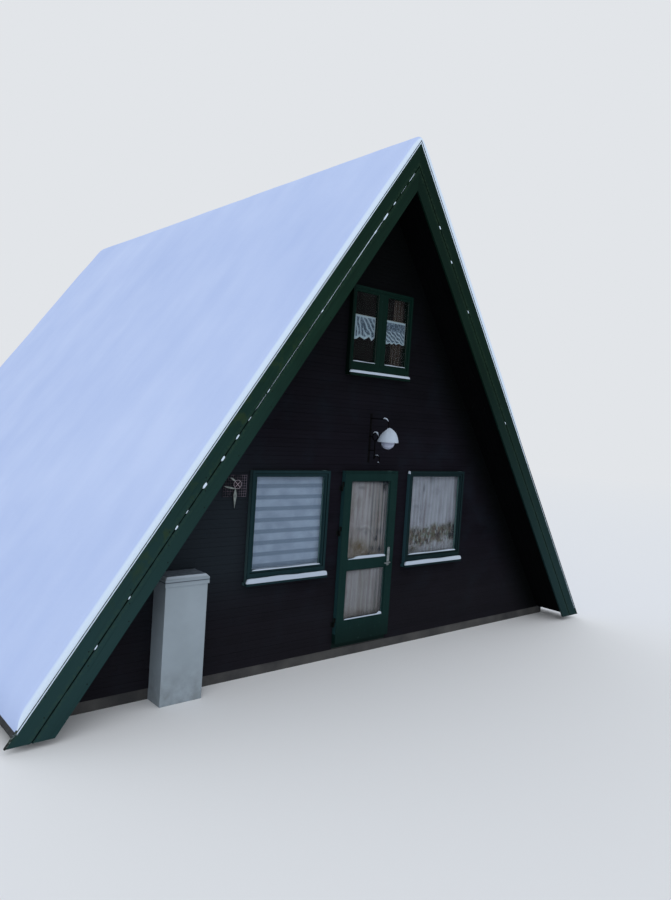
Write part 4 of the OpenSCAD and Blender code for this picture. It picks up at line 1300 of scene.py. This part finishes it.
def roller_blind(cloth, metal):
    """Striped blind on its tube, with a bar in its hem."""
    low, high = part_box("window_left_blind")
    radius = (high.y - low.y) / 2
    tube_z = high.z - radius
    centre = low.y + radius
    tube_path = line((low.x, centre, tube_z), (high.x, centre, tube_z), 8)
    piece("blind_tube", tube(tube_path, radius - 0.002, 24), metal)
    bar_y, bar_z = low.y + 0.003, low.z + 0.006
    bar_path = line((low.x + 0.008, bar_y, bar_z), (high.x - 0.008, bar_y, bar_z), 6)
    piece("blind_bar", tube(bar_path, 0.005, 10), metal)

    def fold(u, v):
        band = ((v * (tube_z - low.z)) / BLIND_PITCH) % 1.0
        return 0.0007 * math.sin(math.pi * band) + 0.0006 * wander(u * 3, v * 7, 2.0)
    hanging("blind_cloth", low.x + 0.006, high.x - 0.006, low.z + 0.004, tube_z, low.y + 0.0015, fold,
            cloth,
            cols=40, rows=160, replaces=("window_left_blind",))


# Scalloped hems of the lace strips: place across, and how far the hem is drawn up there
LEFT_HEM = ((0.08, 0), (0.25, 0.034), (0.5, 0.01), (0.72, 0.05), (0.86, 0.008), (1, 0.05))
RIGHT_HEM = ((0, 0.012), (0.1, 0), (0.24, 0.02), (0.34, 0.006), (0.46, 0.03), (0.57, 0.01), (0.72, 0.034),
             (0.9, 0.012), (1, 0.02))


def lace_strips(lace, metal):
    """Two scalloped lace strips across the upper window's panes, on thin rods."""
    low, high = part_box("window_upper_lace")
    middle = (low.y + high.y) / 2

    def ribs(place):
        return smooth((0.25 - abs(place % 1.0 - 0.5)) / 0.12)

    def left_white(u, v):
        turn = 0.35 * wander(u * 3, v * 3, 4.0)
        slanted = (u - 0.6 * v) * 4.4 + 0.2 + turn
        upright = u * 6 - 0.8 * v + 0.3 + turn
        leaves = ribs(slanted if u > 0.3 + 0.2 * v else upright)
        return max(0.85 * leaves, v < 0.1, smooth((0.06 - min(u, 1 - u)) / 0.03), smooth((v - 0.86) / 0.05))

    def right_white(u, v):
        slant = ribs((u - 1.2 * (v - 0.4)) * 4.6) * smooth((v - 0.42) / 0.08)
        return max(0.95 * slant, v < 0.1, smooth((0.05 - min(u, 1 - u)) / 0.03), smooth((v - 0.93) / 0.04))
    settings = (("left", -high.x + 0.036, -UPPER_MIDDLE, left_white, LEFT_HEM),
                ("right", UPPER_MIDDLE + 0.025, high.x, right_white, RIGHT_HEM))
    for name, x0, x1, white, points in settings:
        rod(f"lace_rod_{name}", x0, x1, middle, high.z - 0.003, 0.003, metal)

        def fold(u, v, n=len(name)):
            return 0.003 * pleats(u, 5, n + 1.0) * (0.4 + 0.6 * v)
        hanging(f"lace_strip_{name}", x0 + 0.004, x1 - 0.004, low.z + 0.002, high.z - 0.002, middle, fold,
                lace, cols=120, rows=80,
                hem=lambda u, p=points: between(p, u), fields={"white": white},
                replaces=("window_upper_lace",) if name == "left" else ())


def side_curtain(cloth, metal):
    """Heavy brown curtain drawn to the right behind the upper window, wider at its foot."""
    low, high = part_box("window_upper_curtain")
    middle = (low.y + high.y) / 2
    x0, x1 = SIDE_CURTAIN_X
    rod_z = high.z - 0.004
    rod("side_rod", low.x, high.x, middle, rod_z, 0.004, metal)

    def fold(u, v):
        return 0.0085 * pleats(u, 3.5, 3.0) * (0.6 + 0.4 * v)
    hanging("side_curtain", x0, x1, low.z + 0.002, rod_z, middle, fold, cloth,
            replaces=("window_upper_curtain",), flare=0.03)


# Joinery details

SASH_W = 0.028
SASH_BACK = 0.010
BEAD_W = 0.012
BEAD_OUT = 0.009
BEAD_EDGE = 0.003
PLATE_T = 0.006
PLATE_CORNER = 0.012
PLATE_HALF_W = 0.02
PLATE_HALF_H = 0.115
SEAM_W = 0.005
SEAM_OUT = 0.0012


def pane_frames(name, panes, section, surface, body=CABIN):
    """A mitred frame of one section inside each pane."""
    parts = [picture_frame(*pane, section) for pane in panes]
    piece(name, joined(parts), surface, body, soft_angle=0)


def beads(name, panes, glass_y, surface, body=CABIN, outward=-1):
    """Glazing beads: flat on the glass, bevelled to the outside."""
    front = glass_y + outward * BEAD_OUT
    section = [(0.0, glass_y), (0.0, front), (BEAD_W * 0.45, front),
               (BEAD_W, glass_y + outward * BEAD_EDGE), (BEAD_W, glass_y)]
    pane_frames(name, panes, section, surface, body)


def sash_seam_shadows(name, openings, face, surface, outward=-1):
    """Near-black strip between each frame and its sash, a painted shadow of the step where the sash sits
    back.
    """
    front = face + outward * SEAM_OUT
    pane_frames(name, openings, [(0.0, face), (0.0, front), (SEAM_W, front), (SEAM_W, face)], surface)


def lever_handle(metal):
    """Long plate, lever and lock on both faces of the leaf."""
    low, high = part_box("door_handle")
    leaf_low, leaf_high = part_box("door_leaf")
    x_mid, z_mid = high.x - PLATE_HALF_W, (low.z + high.z) / 2
    lever_z = low.z + 0.045
    knee = 0.016
    reach_x = x_mid - low.x - 0.009 - knee
    corners = ((1, 1, 0), (-1, 1, 90), (-1, -1, 180), (1, -1, 270))
    outline = [(x_mid + cx * (PLATE_HALF_W - PLATE_CORNER) + PLATE_CORNER * math.cos(a),
                z_mid + cz * (PLATE_HALF_H - PLATE_CORNER) + PLATE_CORNER * math.sin(a))
               for cx, cz, start in corners for a in (math.radians(start + 22.5 * i) for i in range(5))]
    rose = [(0.013, 0.0), (0.013, 0.004), (0.010, 0.006), (0, 0.006)]
    barrel = [(0.009, 0.0), (0.009, 0.006), (0.0075, 0.008), (0.0035, 0.008), (0.0035, 0.0045), (0, 0.0045)]
    parts = []
    for face, outward, reach in ((leaf_low.y, -1, low.y), (leaf_high.y, 1, high.y)):
        parts.append(loft([[(x_mid + (x - x_mid) * (1 - inset / PLATE_HALF_W), face + outward * out, z)
                            for x, z in outline]
                           for inset, out in ((0.0, 0.0), (0.0, PLATE_T * 0.7), (0.0018, PLATE_T))]))
        plate = face + outward * PLATE_T
        tip = reach - outward * 0.0085
        path = [Vector((x_mid, plate, lever_z))]
        path += [Vector((x_mid - knee + knee * math.cos(a),
                         tip - outward * knee + outward * knee * math.sin(a), lever_z))
                 for a in (math.pi / 2 * i / 8 for i in range(9))]
        path += [Vector((x_mid - knee - reach_x * i / 10, tip, lever_z - 0.004 * math.sin(math.pi * i / 10)))
                 for i in range(1, 11)]
        parts.append(tube(path, lambda t: 0.0082 - 0.0015 * t if t < 0.97 else 0.004, 14))
        parts.append(turned_y(rose, Vector((x_mid, plate, lever_z)), outward))
        parts.append(turned_y(barrel, Vector((x_mid, plate, lever_z + 0.092)), outward))
    made = piece("lever_handle", joined(parts), metal, DOOR, soft_angle=35)
    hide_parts("door_handle")


def paint_nodes(groups):
    """Gives each CAD node its material; the names of a material's nodes are one text."""
    for surface, names in groups:
        for name in names.split():
            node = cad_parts[name]
            node.data.materials.clear()
            node.data.materials.append(surface.material)


def build():
    make_camera()
    make_world()
    make_sun()
    make_floor()

    cladding = cladding_wood()
    # Door and windows share one green paint, in lighter and darker copies with painted light or shade for
    # each place: lightest at the left window, darkest at the upper one. The extra entries paint light or
    # shade on side faces.
    door_paint = frame_wood("door_paint", (12, 35, 35), (21, 47, 45),
                            ("door_glass", 1, 0.0145, PAINTED_REVEAL_LIGHT), ("door_leaf", 0, 0.003, (30, 58, 62)))
    left_paint = frame_wood("left_paint", (18, 38, 42), (28, 49, 54),
                            ("window_left_glass", 1, 0.0245, PAINTED_REVEAL_LIGHT),
                            ("window_left_frame", 0, 0.012, (58, 80, 84)))
    right_paint = frame_wood("right_paint", (12, 31, 34), (22, 39, 43),
                             ("window_right_glass", 1, 0.0245, PAINTED_REVEAL_LIGHT),
                             ("window_right_frame", 0, 0.003, (40, 66, 74)))
    upper_paint = frame_wood("upper_paint", (6, 26, 21), (12, 37, 32),
                             ("window_upper_frame", 0, -1.0, (5, 22, 18)))
    # Snow in painted tones: bluish with the sky's light on the roof, and a greyer, darker painted-shade copy
    # for the small pieces in sheltered places
    snow = snow_surface("snow", (176, 195, 236), (190, 207, 243))
    shaded_snow = snow_surface("shaded_snow", (166, 180, 198), (184, 197, 214))
    roofing = roofing_surface()
    steel = brushed_metal("handle_steel", (98, 106, 110), (132, 140, 144), 0.45, 0.6)
    hinge = brushed_metal("hinge_metal", (8, 11, 11), (20, 24, 24), 0.6, 0.0, 0.05)
    brass = brushed_metal("rod_metal", (120, 116, 104), (150, 146, 132), 0.4, 0.8)

    paint_nodes((
        (concrete_surface(), "foundation"),
        (pine_boards("pine", (64, 48, 36), (92, 72, 52)), "ground_floor loft_floor"),
        (roofing, "roof_left roof_right"),
        (sheet_metal("roof_metal", (30, 33, 36), (52, 55, 58)),
         "ridge_cap roof_covering_left roof_covering_right"),
        (wall_core(), "front_wall_left front_wall_right front_gable_wall back_wall back_gable_wall"),
        # The two verges share one green paint: a lighter copy with painted light on the left, a darker copy
        # with painted shade on the right
        (verge_wood("verge_left", PITCH, (14, 34, 27), (24, 50, 40), (37, 61, 64)),
         "front_bargeboards_left back_bargeboards_left"),
        (verge_wood("verge_right", -PITCH, (8, 26, 21), (17, 39, 31), (28, 50, 53)),
         "front_bargeboards_right back_bargeboards_right"),
        (mossy_strip(), "front_flashing back_flashing"),
        (door_paint, "door_frame door_leaf back_window_frames back_upper_window_frame back_window_sills"),
        (left_paint, "window_left_frame window_left_sill"),
        (right_paint, "window_right_frame window_right_sill"),
        (upper_paint, "window_upper_frame window_upper_sashes window_upper_sill"),
        (glass_surface(),
         "door_glass window_left_glass window_right_glass window_upper_glass back_window_glass"),
        (hinge, "door_hinges_frame door_hinges_leaf"),
        (cast_iron(), "lamp_bracket"),
        (rusted_wire(), "wall_trellis"),
        (star_metal(), "wall_star"),
        (plastic(), "meter_cabinet meter_cabinet_lid"),
    ))

    front_windows = [f"window_{name}_{part}" for part in ("frame", "sill")
                     for name in ("left", "right", "upper")]
    front_openings = wall_openings(["door_frame"] + front_windows, HINGE_FEET)
    wall_boards("front_boards", front_openings, WALL, -1, 11, cladding)
    wall_boards("back_boards", wall_openings(front_windows), -WALL, 1, 12, cladding)
    soffit("front_soffit", BOARD_BACK + 0.002, WALL - BOARD_OUT - 0.001, roofing)
    soffit("back_soffit", -WALL + BOARD_OUT + 0.001, -BOARD_BACK - 0.002, roofing)
    nails("front_nails", FRONT, -1, hinge)
    nails("back_nails", -FRONT, 1, hinge)

    roof_snow(snow)
    for name, depth, seed in (("left", 0.050, 1.0), ("right", 0.046, 2.0), ("upper", 0.030, 3.0)):
        sill_snow(f"sill_snow_{name}", f"window_{name}_sill", depth, seed, shaded_snow)
        sill_snow(f"back_sill_snow_{name}", f"window_{name}_sill", depth * 0.8, seed + 5, shaded_snow, 1)
    joint_snow("joint_snow_left", -1, LEFT_RUNS, shaded_snow, 1.0)
    joint_snow("joint_snow_right", 1, RIGHT_RUNS, shaded_snow, 2.0)
    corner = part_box("window_right_frame")[0].x
    snow_strip("corner_snow", corner - 0.016, corner + 0.004, *CORNER_SNOW, 14, lambda t: 0.012 + 0.012 * t,
               lambda t: 0.02 + 0.03 * t, shaded_snow, 7.0, 0.3, 3, soft_angle=80)

    # Near-black paint for the painted shadow strips between frames and sashes
    seam = Surface("sash_seam", 0.9, specular=0.05)
    seam.colour(seam.mix(seam.noise(60, 3), (5, 9, 9), (12, 19, 19)))
    side_panes = []
    for name, paint in (("left", left_paint), ("right", right_paint)):
        low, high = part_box(f"window_{name}_glass")
        pane = (low.x, high.x, low.z, high.z)
        side_panes.append(pane)
        beads(f"window_{name}_beads", [pane], low.y, paint)
        ledge_snow(f"ledge_snow_{name}", pane, low.y - LEDGE_OUT,
                   lambda t: 0.012 + 0.004 * t + 0.002 * math.sin(t * 9), shaded_snow, seed=len(name))
    low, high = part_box("window_upper_glass")
    upper_panes = [(low.x, -UPPER_MIDDLE, low.z, high.z), (UPPER_MIDDLE, high.x, low.z, high.z)]
    beads("window_upper_beads", upper_panes, low.y, upper_paint)
    for name, pane in zip(SIDES, upper_panes):
        ledge_snow(f"ledge_snow_upper_{name}", pane, low.y - LEDGE_OUT,
                   lambda t: 0.009 + 0.002 * math.sin(t * 7), shaded_snow, seed=len(name))
    # Pale putty strip at the right-hand edge of each upper pane; its pale tone is partly a painted highlight
    putty_and_highlight = Surface("putty_and_highlight", 0.8, specular=0.05)
    putty_and_highlight.colour(putty_and_highlight.mix(putty_and_highlight.noise(30, 4), (44, 60, 58), (100, 110, 106)))
    lines = [skewed([(low.y - BEAD_OUT, z0), (low.y, z0), (low.y, z1), (low.y - BEAD_OUT, z1)],
                    lambda z, x=x1: x - 0.007, lambda z, x=x1: x - 0.001) for _, x1, z0, z1 in upper_panes]
    piece("upper_putty", joined(lines), putty_and_highlight, soft_angle=0)
    back_panes = [(-x1, -x0, z0, z1) for x0, x1, z0, z1 in upper_panes] + side_panes
    beads("back_window_beads", back_panes, -low.y, door_paint, outward=1)
    rims = [(x0 - SASH_W, x1 + SASH_W, z0 - SASH_W, z1 + SASH_W) for x0, x1, z0, z1 in side_panes]
    sash_seam_shadows("front_sash_seams", rims, FRAME_FACE + SASH_BACK, seam)
    sash_seam_shadows("back_sash_seams", rims, -FRAME_FACE - SASH_BACK, seam, 1)

    low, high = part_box("door_glass")
    door_panes = [(low.x, high.x, low.z, LOWER_PANE_Z1), (low.x, high.x, UPPER_PANE_Z0, high.z)]
    beads("door_beads", door_panes, low.y, door_paint, DOOR)
    heights = (lambda t: 0.014 + 0.026 * smooth((t - 0.86) / 0.06),
               lambda t: 0.010 + 0.021 * smooth((t - 0.12) / 0.16) * (1 - 0.2 * smooth((t - 0.8) / 0.2)))
    for name, pane, height, seed in zip(("lower", "upper"), door_panes, heights, (4.0, 5.0)):
        ledge_snow(f"door_ledge_snow_{name}", pane, low.y - 0.004, height, shaded_snow, DOOR, seed, 0.003)
    lever_handle(steel)

    make_shade(enamel())
    make_globe(opal())
    # A darker painted-shade copy still for the cap on the lamp's shade
    shade_snow(snow_surface("cap_snow", (156, 170, 188), (176, 189, 206)))
    bracket_snow(shaded_snow)

    door_net = net_surface("door_net", (130, 122, 127), (186, 178, 182), (122, 104, 103), (98, 82, 60))
    door_curtains(door_net, brass)
    right_net = net_surface("window_net", (142, 140, 150), (184, 182, 194), (126, 118, 130), (92, 76, 56))
    window_net(right_net, brass)
    roller_blind(blind_surface(), sheet_metal("blind_metal", (150, 156, 166), (176, 182, 192), 0.5))
    lace_strips(lace_surface(), brass)
    side_curtain(cloth_surface("brown_cloth", (26, 20, 18), (64, 50, 44)), brass)


build()
